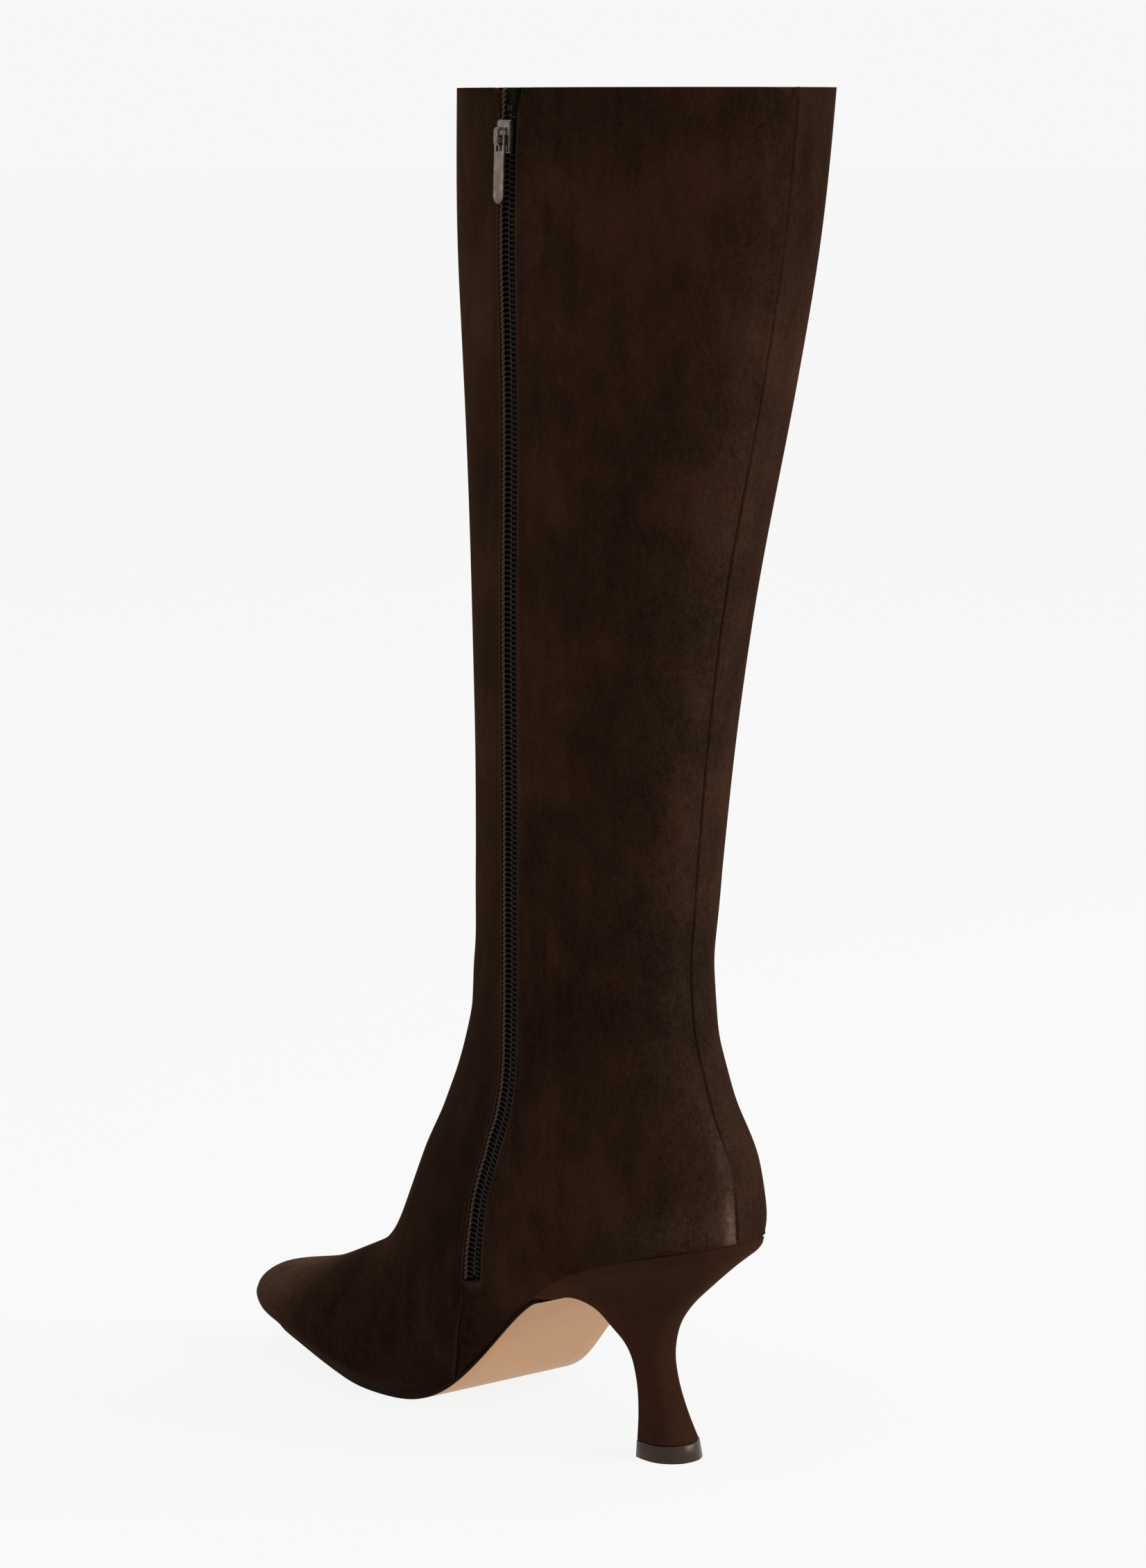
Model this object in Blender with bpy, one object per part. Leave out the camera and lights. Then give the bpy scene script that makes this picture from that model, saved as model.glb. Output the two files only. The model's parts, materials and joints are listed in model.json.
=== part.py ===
"""Tall heeled boot for the right foot, with an inside zip, in metres with +Z up.

The toe points along -Y and the inside of the leg, where the zip is, faces +X.
The origin is the middle of the heel tip's bottom face, on the ground. The tables
are in millimetres: "forward" runs from the heel tip towards the toe, "medial"
and "lateral" run sideways to the inside and the outside of the leg.
"""

import math
from collections import namedtuple

import bmesh
import bpy
import numpy as np
from mathutils import Matrix, Vector

MM = 0.001
GAP = 0.3                   # clearance between pieces that touch

# ---- upper
WALL = 2.0                  # suede with its lining
SHAFT_ROWS = 28             # bands from the collar to the heel's feather edge
CALF_ROWS = 9               # so many of them are wide ones, over the calf
CALF_RUN = 225.0            # and cover this length of the back seam
FOOT_ROWS = 24              # bands from the heel's feather edge to the toe tip
END_ROUND_ROWS = 0.75       # share of the foot's bands that crowd towards its ends
BACK_COLUMNS = 8            # strips between the back seam and the zip's tape
FRONT_COLUMNS = 7           # strips between the zip's tape and the front line

# ---- zip
SLOT = 8.0                  # width of the slot that shows the coil
FLANK = 8.0                 # tape sewn behind the wall on each side of the slot
SLOT_FOOT_ROWS = 9          # the slot runs on for this many bands of the foot
TAPE_CLEAR = 1.0            # between the tape and the wall in front of it
TAPE_PAST_SLOT = 0.2        # bands that the tape runs on below the slot
TAPE_THICK = 0.8
COIL_WIDTH = 4.4
COIL_CROWN = 3.1            # width of the coil's flat top
COIL_DEPTH = 0.7            # how far that top lies under the suede's face
COIL_STOP = 0.2             # bands of the upper between the coil's end and the slot's
COIL_END_SLOPE = 0.05
SHORT_SIDE = 110.0          # below this half length the zip's strips shrink too

# ---- zip slider and its pull tab, in the slot's upper end
SLIDER_DROP = 16.0          # middle of the slider below the collar
SLIDER_SIZE = (7.0, 2.4, 11.0)      # across, out, up
SLIDER_BEVEL = 0.8
BRIDGE_WIDTH = 2.2
BRIDGE_LENGTH = 6.0
BRIDGE_THICK = 1.0
BRIDGE_OPEN = 2.0           # height of the way under the bridge
BRIDGE_ROOT = 0.5           # how deep its ends run into the slider
PULL_WIDTH = 5.6
PULL_THICK = 1.0
PULL_LENGTH = 22.0
PULL_WINDOW = 4.4           # height of the window that the bridge passes through
PULL_WINDOW_WIDTH = 3.4
PULL_ROUND_POINTS = 9

# ---- sole, insole, heel
SOLE_EDGE = 0.8             # how far the sole stands out past the upper at the ball
INSOLE_THICK = 2.0
HEEL_REAR = -35.0           # rear end of the seat
TOE_TIP = 205.0             # front end of the upper's feather edge
REAR_ROUND = 25.0           # length over which the seat's outline rounds off
TOE_ROUND = 15.0            # and the toe's
BREAST_ROW = 9              # foot band where the sole ends and the heel's cover starts
EDGE_FULL = 90.0            # where the sole's edge stands out in full
INSOLE_INSET = WALL + 1.2
INSOLE_REAR_STEPS = np.array([0, 0.1, 0.4])     # shares of the first band, for a round rear
INSOLE_REAR_CUT = 0.5       # the insole stops short of the heel's inner corner
INSOLE_TOE_CUT = 3.0        # and of the toe's

# Top face of the sole and of the heel seat, with its two edges.
SolePoint = namedtuple("SolePoint", "place forward height medial lateral thick")
SOLE = (
    SolePoint("seat end", -35, 80.0, 22, -25, 2.5),
    SolePoint("seat", -8, 72.5, 25.5, -28, 2.5),
    SolePoint("breast", 22, 61.5, 29, -28.5, 1.8),
    SolePoint("shank", 45, 48.2, 25, -28.5, 1.2),
    SolePoint("waist", 70, 26.0, 24.5, -31.5, 1.8),
    SolePoint("waist front", 90, 8.8, 27, -36, 2.6),
    SolePoint("ball back", 104, 3.0, 29, -37.5, 3.0),
    SolePoint("ball", 128, 3.0, 33, -37.5, 3.0),
    SolePoint("toe joint", 155, 5.8, 30, -25.5, 3.0),
    SolePoint("toes", 182, 9.0, 25, -6, 3.0),
    SolePoint("toe end", 205, 11.5, 21, 7.5, 2.6),
)

# Sections of the upper, each on a plane from a point of the front line to a point
# of the back seam or of the sole. "widest" is how far down the plane, from 0 at the
# front to 1 at the back, it is widest; "zip" is the zip's distance round from the front.
Section = namedtuple("Section", "place front front_z back back_z shift medial lateral widest square zip")
SECTIONS = (
    Section("collar", 112, 460, -44, 460, -15.5, 49.5, 48, .50, 2.2, 92),
    Section("calf", 111, 420, -41, 420, -14, 48.5, 47, .50, 2.2, 89.6),
    Section("mid calf", 104.5, 360, -32, 360, -11, 44.5, 42.5, .50, 2.2, 81.5),
    Section("lower calf", 96.5, 290, -19.5, 290, -6, 39, 38, .50, 2.2, 69.8),
    Section("shin", 93.5, 225, -13.5, 225, -2.5, 33.5, 33.5, .50, 2.2, 61.4),
    Section("ankle", 93, 172, -11.5, 165, 0.5, 29.2, 30.5, .50, 2.2, 56.4),
    Section("instep", 98, 139.5, -21, 128, 1, 28.8, 29.5, .52, 2.3, 59.2),
    Section("heel", 106, 122, -33.5, 101, 0.5, 30.8, 32.2, .56, 2.5, 64.8),
    Section("feather", 115, 105.5, -35, None, 0, 33.7, 33.9, .60, 2.6, 69),
    Section("seat", 125.5, 89, -8, None, -0.5, 34.6, 34, .66, 2.6, 76),
    Section("breast", 131, 75.5, 24, None, 0, 33.8, 34.5, .68, 2.6, 81),
    Section("waist", 137.5, 60.5, 60, None, 0, 34, 35.5, .70, 2.6, 87.2),
    Section("ball back", 146.5, 50.5, 96, None, 0, 36, 39.5, .72, 2.6, 66),
    Section("ball", 160, 43.5, 126, None, 1.5, 37.5, 40.5, .74, 2.6, 46),
    Section("toe joint", 179, 35, 156, None, 6, 30, 33, .72, 2.6, 32),
    Section("toe", 198, 31, 184, None, 12.5, 18.5, 19.5, .66, 2.6, 20),
    Section("toe tip", 210.5, 20, 205, None, 16, 10, 8, .60, 2.6, 5),
)

# Levels of the heel below the seat's edge. Each level is a tilted ring from a point of
# the back line to a point of the breast line, half as wide as "half", with a share of
# the seat's own outline and sag, and a share of its front that is flat.
Level = namedtuple("Level", "place back back_z front front_z half seat_share flat")
HEEL = (
    Level("seat edge", -34.5, 76.5, 41.8, 47.5, 26.4, 1.0, 1.0),
    Level("under seat", -27, 70, 34, 50.2, 20.5, .7, .9),
    Level("upper curve", -17, 61, 27, 47, 14.3, .4, .7),
    Level("curve", -6.5, 52, 20.5, 41, 11, .2, .6),
    Level("neck top", 0, 43, 14.5, 36.5, 9, 0, .55),
    Level("neck", 1, 35, 12, 31, 7.5, 0, .5),
    Level("neck low", -1.2, 26, 10.5, 24.5, 7.1, 0, .5),
    Level("flare", -5.5, 15, 8.5, 15, 8.2, 0, .6),
    Level("foot", -10.2, 6, 7.2, 6, 10, 0, .7),
)
HEEL_ROWS = 20
D_BACK = 0.55               # shares of a ring's depth that round off
D_FRONT = 0.25

# Faces of the heel tip, as D-shaped loops.
TIP_COLUMNS = 11
TipLevel = namedtuple("TipLevel", "place height back front half flat")
TIP = (
    TipLevel("top", 5.7, -10.8, 7.5, 10.3, .7),
    TipLevel("bottom", 0.0, -12.2, 7.5, 10.8, .7),
)


def smooth(keys, values, at):
    """Values on a smooth curve through (keys, values) that never overshoots them."""
    keys = np.asarray(keys, float)
    values = np.asarray(values, float)
    at = np.clip(np.asarray(at, float), keys[0], keys[-1])
    step = np.diff(keys)
    rise = np.diff(values) / step
    slope = np.empty_like(values)
    slope[0] = rise[0]
    slope[-1] = rise[-1]
    product = rise[:-1] * rise[1:]
    total = rise[:-1] + rise[1:]
    safe = np.where(product > 0, total, 1.0)
    slope[1:-1] = np.where(product > 0, 2 * product / safe, 0.0)
    i = np.clip(np.searchsorted(keys, at, side="right") - 1, 0, len(step) - 1)
    t = (at - keys[i]) / step[i]
    cubic = (2 * values[i] - 2 * values[i + 1] + step[i] * (slope[i] + slope[i + 1])) * t ** 3
    square = (3 * values[i + 1] - 3 * values[i] - step[i] * (2 * slope[i] + slope[i + 1])) * t ** 2
    return cubic + square + step[i] * slope[i] * t + values[i]


def column(rows, name):
    return [getattr(row, name) for row in rows]


def ring(medial, lateral, forward, height):
    """A loop as two lines of (sideways, forward, up) points, one for each side."""
    forward = np.broadcast_to(forward, np.shape(medial))
    height = np.broadcast_to(height, np.shape(medial))
    return np.stack([medial, forward, height], axis=1), np.stack([lateral, forward, height], axis=1)


def d_shape(run, flat):
    """Half width, up to 1, of a loop that is round behind and flat in front."""
    back = np.sqrt(1 - np.clip(1 - run / D_BACK, 0, 1) ** 2)
    front = flat + (1 - flat) * np.sqrt(1 - np.clip((run - 1 + D_FRONT) / D_FRONT, 0, 1) ** 2)
    return np.minimum(back, front)


# ---- the sole's top face

def sole_curve(forward):
    return smooth(column(SOLE, "forward"), column(SOLE, "height"), forward)


def foot_stations():
    """Forward places of the foot's bands along the sole, closer together at its ends."""
    fine = np.linspace(HEEL_REAR, TOE_TIP, 400)
    run = np.concatenate([[0], np.cumsum(np.hypot(np.diff(fine), np.diff(sole_curve(fine))))])
    even = np.linspace(0, 1, FOOT_ROWS + 1)
    share = END_ROUND_ROWS * (1 - np.cos(even * math.pi)) / 2 + (1 - END_ROUND_ROWS) * even
    return np.interp(share * run[-1], run, fine), share * run[-1]


STATIONS, STATION_RUN = foot_stations()
STATION_HEIGHTS = sole_curve(STATIONS)
BREAST = STATIONS[BREAST_ROW]


def sole_height(forward):
    """Height of the sole's top face, straight between the stations that all pieces share."""
    return np.interp(forward, STATIONS, STATION_HEIGHTS)


def sole_down(forward):
    """Unit normal (forward, up) that points down out of the sole's top face."""
    slope = sole_curve(forward + 0.5) - sole_curve(forward - 0.5)
    length = np.hypot(1.0, slope)
    return slope / length, -1.0 / length


def off_sole(forward, distance):
    """(forward, up) of points at a distance under the sole's top face, or over it."""
    down_forward, down_up = sole_down(forward)
    return forward + distance * down_forward, sole_height(forward) + distance * down_up


def under_sole(forward):
    return off_sole(forward, smooth(column(SOLE, "forward"), column(SOLE, "thick"), forward))


def end_round(forward, inset):
    """Share of the full width left near the two ends of the outline."""
    rear = HEEL_REAR + inset
    toe = TOE_TIP - inset
    rear_round = REAR_ROUND - inset
    toe_round = TOE_ROUND - inset
    back = np.clip((rear + rear_round - forward) / rear_round, 0, 1)
    front = np.clip((forward - toe + toe_round) / toe_round, 0, 1)
    return np.sqrt(1 - back ** 2) * np.sqrt(1 - front ** 2)


def outline(forward, inset=0.0):
    """(medial, lateral) edges of the upper's feather line, drawn in by an inset."""
    forward = np.asarray(forward, float)
    keys = column(SOLE, "forward")
    edges = []
    for name, inward in (("medial", -1), ("lateral", 1)):
        edge = smooth(keys, column(SOLE, name), forward)
        ahead = smooth(keys, column(SOLE, name), forward + 1)
        behind = smooth(keys, column(SOLE, name), forward - 1)
        edges.append(edge + inward * inset * np.hypot(1, (ahead - behind) / 2))
    middle = 0.5 * (edges[0] + edges[1])
    half = 0.5 * (edges[0] - edges[1]) * end_round(forward, inset)
    return middle + half, middle - half


# ---- the upper's skin

def station_table():
    """Values of every mesh row of the upper, from the collar to the toe tip."""
    back = np.array(column(SECTIONS, "back"), float)
    first_foot = column(SECTIONS, "place").index("feather")
    back_z = np.array([0.0 if s.back_z is None else s.back_z for s in SECTIONS])
    on_sole = np.array([s.back_z is None for s in SECTIONS])
    back_z[on_sole] = sole_height(back[on_sole])

    # The key of a section is the length of the path down the back and along the sole.
    keys = np.zeros(len(SECTIONS))
    for i in range(1, first_foot + 1):
        keys[i] = keys[i - 1] + math.hypot(back[i] - back[i - 1], back_z[i] - back_z[i - 1])
    keys[first_foot:] = keys[first_foot] + np.interp(back[first_foot:], STATIONS, STATION_RUN)
    row_numbers = np.arange(SHAFT_ROWS + 1)
    down_back = smooth([0, CALF_ROWS, SHAFT_ROWS], [0, CALF_RUN, keys[first_foot]], row_numbers)
    at = np.concatenate([down_back, keys[first_foot] + STATION_RUN[1:]])
    table = {}
    for name in ("front", "front_z", "shift", "medial", "lateral", "widest", "square", "zip"):
        table[name] = smooth(keys, column(SECTIONS, name), at)
    shaft = slice(0, first_foot + 1)
    table["back"] = smooth(keys[shaft], back[shaft], at)
    table["back_z"] = smooth(keys[shaft], back_z[shaft], at)
    foot = np.arange(len(at)) >= SHAFT_ROWS
    forward = STATIONS
    table["back"][foot], table["back_z"][foot] = off_sole(forward, -GAP)
    for name in ("medial", "lateral"):
        table[name][foot] *= np.sqrt(1 - np.clip((forward - TOE_TIP + TOE_ROUND) / TOE_ROUND, 0, 1) ** 2)
    table["edge_medial"] = np.zeros(len(at))
    table["edge_lateral"] = np.zeros(len(at))
    medial, lateral = outline(forward)
    table["edge_medial"][foot] = np.maximum(medial - table["shift"][foot], 0)
    table["edge_lateral"][foot] = np.maximum(table["shift"][foot] - lateral, 0)
    table["edge_medial"][SHAFT_ROWS] = 0
    table["edge_lateral"][SHAFT_ROWS] = 0
    return table


def half_profile(width, edge, widest, square, samples=40):
    """(down, out) along one side of a section, from the front line to the back or sole."""
    turn = np.linspace(0, math.pi / 2, samples)
    down = widest * (1 - np.cos(turn))
    out = width * np.sin(turn)
    share = min(edge / max(width, 1e-6), 0.999)
    cut = (1 - share ** square) ** (1 / square)
    turn = np.linspace(0, math.asin(cut ** (square / 2)), samples)
    lower = widest + (1 - widest) * np.sin(turn) ** (2 / square) / cut
    lower_out = width * np.cos(turn) ** (2 / square)
    return np.concatenate([down, lower[1:]]), np.concatenate([out, lower_out[1:]])


def side_points(table, i, side, shares):
    """Points of row i at the given shares of the length from the front line."""
    name = "medial" if side > 0 else "lateral"
    row = {key: values[i] for key, values in table.items()}
    down, out = half_profile(row[name], row["edge_" + name], row["widest"], row["square"])
    reach = math.hypot(row["back"] - row["front"], row["back_z"] - row["front_z"])
    length = np.concatenate([[0], np.cumsum(np.hypot(np.diff(down) * reach, np.diff(out)))])
    if callable(shares):
        shares = shares(length[-1])
    down = np.interp(shares * length[-1], length, down)
    out = np.interp(shares * length[-1], length, out)
    forward = row["front"] + (row["back"] - row["front"]) * down
    height = row["front_z"] + (row["back_z"] - row["front_z"]) * down
    return np.stack([row["shift"] + side * out, forward, height], axis=1)


def medial_shares(zip_distance, length):
    """Strip edges on the zip's side, as shares of the length from the front line."""
    middle = zip_distance / length
    half = 0.5 * SLOT / max(length, SHORT_SIDE)
    flank = FLANK / max(length, SHORT_SIDE)
    ahead = np.linspace(0, middle - half - flank, FRONT_COLUMNS + 1)
    behind = np.linspace(middle + half + flank, 1, BACK_COLUMNS + 1)
    return np.concatenate([ahead, [middle - half, middle + half], behind])


def skin():
    """Outer points of the upper: rows by columns by (medial, forward, up)."""
    table = station_table()
    side_columns = FRONT_COLUMNS + BACK_COLUMNS + 3
    rows = []
    for i in range(SHAFT_ROWS + FOOT_ROWS + 1):
        zip_distance = table["zip"][i]
        medial = side_points(table, i, 1, lambda length: medial_shares(zip_distance, length))
        lateral = side_points(table, i, -1, np.linspace(0, 1, side_columns + 1))
        rows.append(np.concatenate([medial[::-1], lateral[1:]]))
    return np.array(rows)


def heel_rings():
    """Rings of the heel's cover, each a medial and a lateral line from back to breast."""
    keys = np.cumsum([0] + [math.dist(a[1:5], b[1:5]) for a, b in zip(HEEL, HEEL[1:])])
    at = np.linspace(0, keys[-1], HEEL_ROWS + 1)
    table = {name: smooth(keys, column(HEEL, name), at) for name in Level._fields[1:]}
    stations = STATIONS[:BREAST_ROW + 1].copy()
    stations[-1] -= GAP
    seat_forward = np.sort(np.concatenate([stations, 0.5 * (stations[2:-1] + stations[3:])]))
    run = (seat_forward - HEEL_REAR) / (seat_forward[-1] - HEEL_REAR)
    seat_height = sole_height(seat_forward)
    seat_medial, seat_lateral = outline(seat_forward)
    sag = seat_height - (seat_height[0] + (seat_height[-1] - seat_height[0]) * run)
    rings = [ring(seat_medial, seat_lateral, seat_forward, seat_height)]
    for i in range(HEEL_ROWS + 1):
        row = {name: values[i] for name, values in table.items()}
        plain = row["half"] * d_shape(run, row["flat"])
        scale = row["half"] / seat_medial.max()
        share = row["seat_share"]
        forward = row["back"] + (row["front"] - row["back"]) * run
        height = row["back_z"] + (row["front_z"] - row["back_z"]) * run + share * sag
        medial = share * scale * seat_medial + (1 - share) * plain
        lateral = share * scale * seat_lateral - (1 - share) * plain
        rings.append(ring(medial, lateral, forward, height))
    return rings


# ---- build

def to_world(point):
    sideways, forward, up = point
    return Vector((sideways, -forward, up)) * MM


def finish(name, bm, look):
    """Weld, face outwards and link a mesh that lies in world coordinates."""
    bmesh.ops.remove_doubles(bm, verts=bm.verts, dist=0.002 * MM)
    bmesh.ops.recalc_face_normals(bm, faces=bm.faces)
    mesh = bpy.data.meshes.new(name)
    bm.to_mesh(mesh)
    bm.free()
    mesh.shade_smooth()
    mesh.set_sharp_from_angle(angle=math.radians(40))
    mesh.materials.append(look)
    obj = bpy.data.objects.new(name, mesh)
    bpy.context.collection.objects.link(obj)
    return obj


def material(name, colour, roughness, metallic=0.0):
    look = bpy.data.materials.new(name)
    look.use_nodes = True
    shader = look.node_tree.nodes["Principled BSDF"]
    shader.inputs["Base Color"].default_value = (*colour, 1.0)
    shader.inputs["Roughness"].default_value = roughness
    shader.inputs["Metallic"].default_value = metallic
    look.diffuse_color = (*colour, 1.0)
    return look


def ring_solid(name, rings, look):
    """Solid through rings of paired side lines, closed by rungs across its two ends."""
    bm = bmesh.new()
    loops = []
    for medial, lateral in rings:
        loops.append([[bm.verts.new(to_world(p)) for p in line] for line in (medial, lateral)])
    for (medial, lateral), (next_medial, next_lateral) in zip(loops, loops[1:]):
        around = medial[::-1] + lateral
        below = next_medial[::-1] + next_lateral
        for k in range(len(around)):
            bm.faces.new((around[k - 1], around[k], below[k], below[k - 1]))
    for medial, lateral in (loops[0], loops[-1]):
        for k in range(len(medial) - 1):
            bm.faces.new((medial[k], medial[k + 1], lateral[k + 1], lateral[k]))
    return finish(name, bm, look)


class Skin:
    """The upper's outer face as welded vertices, with the inward direction at each."""

    def __init__(self):
        self.points = skin()
        self.rows, self.columns = self.points.shape[:2]
        self.front_column = FRONT_COLUMNS + BACK_COLUMNS + 3
        self.slot = BACK_COLUMNS + 1
        self.slot_end = SHAFT_ROWS + SLOT_FOOT_ROWS
        self.mesh = bmesh.new()
        self.verts = self.make_verts()
        for i in range(self.rows - 1):
            for j in range(self.columns - 1):
                self.face(i, j)
        self.mesh.normal_update()
        self.inward = [[self.direction(i, j) for j in range(self.columns)] for i in range(self.rows)]

    def make_verts(self):
        """A vertex for each grid point, shared along the back seam and at the toe tip."""
        grid = []
        for i in range(self.rows):
            line = []
            for j in range(self.columns):
                if j == self.columns - 1 and i <= SHAFT_ROWS:
                    line.append(line[0])
                elif i == self.rows - 1 and j > self.front_column:
                    line.append(line[self.columns - 1 - j])
                else:
                    line.append(self.mesh.verts.new(to_world(self.points[i, j])))
            grid.append(line)
        return grid

    def face(self, i, j):
        corners = [self.verts[i][j], self.verts[i][j + 1], self.verts[i + 1][j + 1], self.verts[i + 1][j]]
        return self.mesh.faces.new(dict.fromkeys(corners))

    def direction(self, i, j):
        """Unit vector into the wall; along the rims it keeps to the rim's own plane."""
        inward = -self.verts[i][j].normal
        middle = to_world(self.points[i].mean(axis=0))
        if inward.dot(middle - self.verts[i][j].co) < 0:
            inward.negate()
        if i == 0:
            inward.z = 0
        elif i >= SHAFT_ROWS and j in (0, self.columns - 1):
            down_forward, down_up = sole_down(self.points[i, j, 1])
            down = Vector((0, -down_forward, down_up))
            inward -= down * inward.dot(down)
        return inward.normalized()

    def at(self, row, column, depth):
        """World point at a fractional row and column, at a depth under the outer face."""
        i = min(int(row), self.rows - 2)
        j = min(int(column), self.columns - 2)
        u = row - i
        v = column - j
        corners = []
        for a in (i, i + 1):
            for b in (j, j + 1):
                corners.append(to_world(self.points[a, b]) + self.inward[a][b] * depth * MM)
        upper_edge = corners[0].lerp(corners[1], v)
        return upper_edge.lerp(corners[2].lerp(corners[3], v), u)


def make_upper(skin_form, look):
    """Hollow boot leg and foot in one wall, open at the top, under the foot and at the zip."""
    bm = bmesh.new()
    pairs = {}

    def pair(i, j):
        vert = skin_form.verts[i][j]
        if vert not in pairs:
            inner = vert.co + skin_form.inward[i][j] * WALL * MM
            pairs[vert] = (bm.verts.new(vert.co), bm.verts.new(inner))
        return pairs[vert]

    for i in range(skin_form.rows - 1):
        for j in range(skin_form.columns - 1):
            if j == skin_form.slot and i < skin_form.slot_end:
                continue
            corners = [pair(i, j), pair(i, j + 1), pair(i + 1, j + 1), pair(i + 1, j)]
            corners = list(dict.fromkeys(corners))
            bm.faces.new([outer for outer, inner in corners])
            bm.faces.new([inner for outer, inner in reversed(corners)])
    partner = dict(pairs.values())
    for edge in list(bm.edges):
        if len(edge.link_faces) == 1 and edge.verts[0] in partner:
            a, b = edge.verts
            bm.faces.new((a, b, partner[b], partner[a]))
    return finish("upper", bm, look)


def make_zip_tape(skin_form, look):
    """Tape sewn behind the slot, with the closed coil standing up in the slot."""
    left = skin_form.slot
    back_of_wall = WALL + TAPE_CLEAR
    coil = 0.5 * COIL_WIDTH / SLOT
    crown = 0.5 * COIL_CROWN / SLOT
    last = skin_form.slot_end
    coil_end = last - COIL_STOP
    tape_rows = list(range(last)) + [coil_end, coil_end + COIL_END_SLOPE, last, last + TAPE_PAST_SLOT]
    profile = (
        (left - 1, back_of_wall),
        (left, back_of_wall),
        (left + 0.5 - coil, back_of_wall),
        (left + 0.5 - crown, COIL_DEPTH),
        (left + 0.5 + crown, COIL_DEPTH),
        (left + 0.5 + coil, back_of_wall),
        (left + 1, back_of_wall),
        (left + 2, back_of_wall),
    )
    bm = bmesh.new()
    strips = []
    for row in tape_rows:
        outer = []
        for column_at, depth in profile:
            if row > coil_end:
                depth = back_of_wall
            outer.append(bm.verts.new(skin_form.at(row, column_at, depth)))
        inner = []
        for column_at, _ in reversed(profile):
            inner.append(bm.verts.new(skin_form.at(row, column_at, back_of_wall + TAPE_THICK)))
        strips.append(outer + inner)
    for upper_strip, lower_strip in zip(strips, strips[1:]):
        for k in range(len(upper_strip)):
            bm.faces.new((upper_strip[k - 1], upper_strip[k], lower_strip[k], lower_strip[k - 1]))
    count = len(profile)
    for strip in (strips[0], strips[-1]):
        for k in range(count - 1):
            bm.faces.new((strip[k], strip[k + 1], strip[2 * count - 2 - k], strip[2 * count - 1 - k]))
    return finish("zip_tape", bm, look)


def make_insole(look):
    rear = HEEL_REAR + INSOLE_INSET + INSOLE_REAR_CUT
    toe = TOE_TIP - INSOLE_INSET - INSOLE_TOE_CUT
    inside = STATIONS[(STATIONS > rear + 1) & (STATIONS < toe - 1)]
    round_rear = rear + (inside[0] - rear) * INSOLE_REAR_STEPS
    forward = np.concatenate([round_rear, inside, [toe]])
    medial, lateral = outline(forward, INSOLE_INSET)
    rings = []
    for lift in (GAP, GAP + INSOLE_THICK):
        rings.append(ring(medial, lateral, *off_sole(forward, -lift)))
    return ring_solid("insole", rings, look)


def make_outsole(look):
    stations = STATIONS[BREAST_ROW:]
    stretch = np.clip((stations - TOE_TIP + TOE_ROUND) / TOE_ROUND, 0, 1)
    forward = stations + SOLE_EDGE * stretch
    edge = SOLE_EDGE * np.clip((forward - BREAST) / (EDGE_FULL - BREAST), 0, 1)
    medial, lateral = outline(forward, -edge)
    top = ring(medial, lateral, forward, sole_height(forward))
    bottom = ring(medial, lateral, *under_sole(forward))
    return ring_solid("outsole", [top, bottom], look)


def make_heel_tip(look):
    run = 1 - np.cos(np.linspace(0, math.pi / 2, TIP_COLUMNS + 1))
    rings = []
    for level in TIP:
        half = level.half * d_shape(run, level.flat)
        forward = level.back + (level.front - level.back) * run
        rings.append(ring(half, -half, forward, level.height))
    return ring_solid("heel_tip", rings, look)


# ---- zip slider and pull tab, in axes across the zip, out of the leg and up along it

def zip_frame(skin_form):
    """Those axes as a matrix, and the point of the coil's crown under the slider."""
    row = SLIDER_DROP / math.dist(skin_form.points[0, 0], skin_form.points[1, 0])
    middle = skin_form.slot + 0.5
    crown = skin_form.at(row, middle, COIL_DEPTH)
    up = (skin_form.at(row - 0.5, middle, 0) - skin_form.at(row + 0.5, middle, 0)).normalized()
    out = skin_form.at(row, middle, 0) - skin_form.at(row, middle, 1)
    out = (out - up * out.dot(up)).normalized()
    return Matrix((out.cross(up), out, up)).transposed(), crown


def prism(loop, width, turned=False):
    """Loop of (out, up) points drawn across the zip, or of (across, up) points drawn outwards."""
    bm = bmesh.new()
    ends = []
    for offset in (-0.5 * width, 0.5 * width):
        end = []
        for first, up in loop:
            place = (first, offset, up) if turned else (offset, first, up)
            end.append(bm.verts.new(Vector(place) * MM))
        ends.append(end)
    bm.faces.new(ends[0])
    bm.faces.new(ends[1])
    for k in range(len(loop)):
        bm.faces.new((ends[0][k - 1], ends[0][k], ends[1][k], ends[1][k - 1]))
    return bm


def combine(obj, other, operation):
    """Join to or cut from an object another one, which stays as a hidden form."""
    other.hide_render = True
    other.display_type = "WIRE"
    other.parent = obj
    change = obj.modifiers.new(other.name, "BOOLEAN")
    change.operation = operation
    change.solver = "EXACT"
    change.object = other


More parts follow.
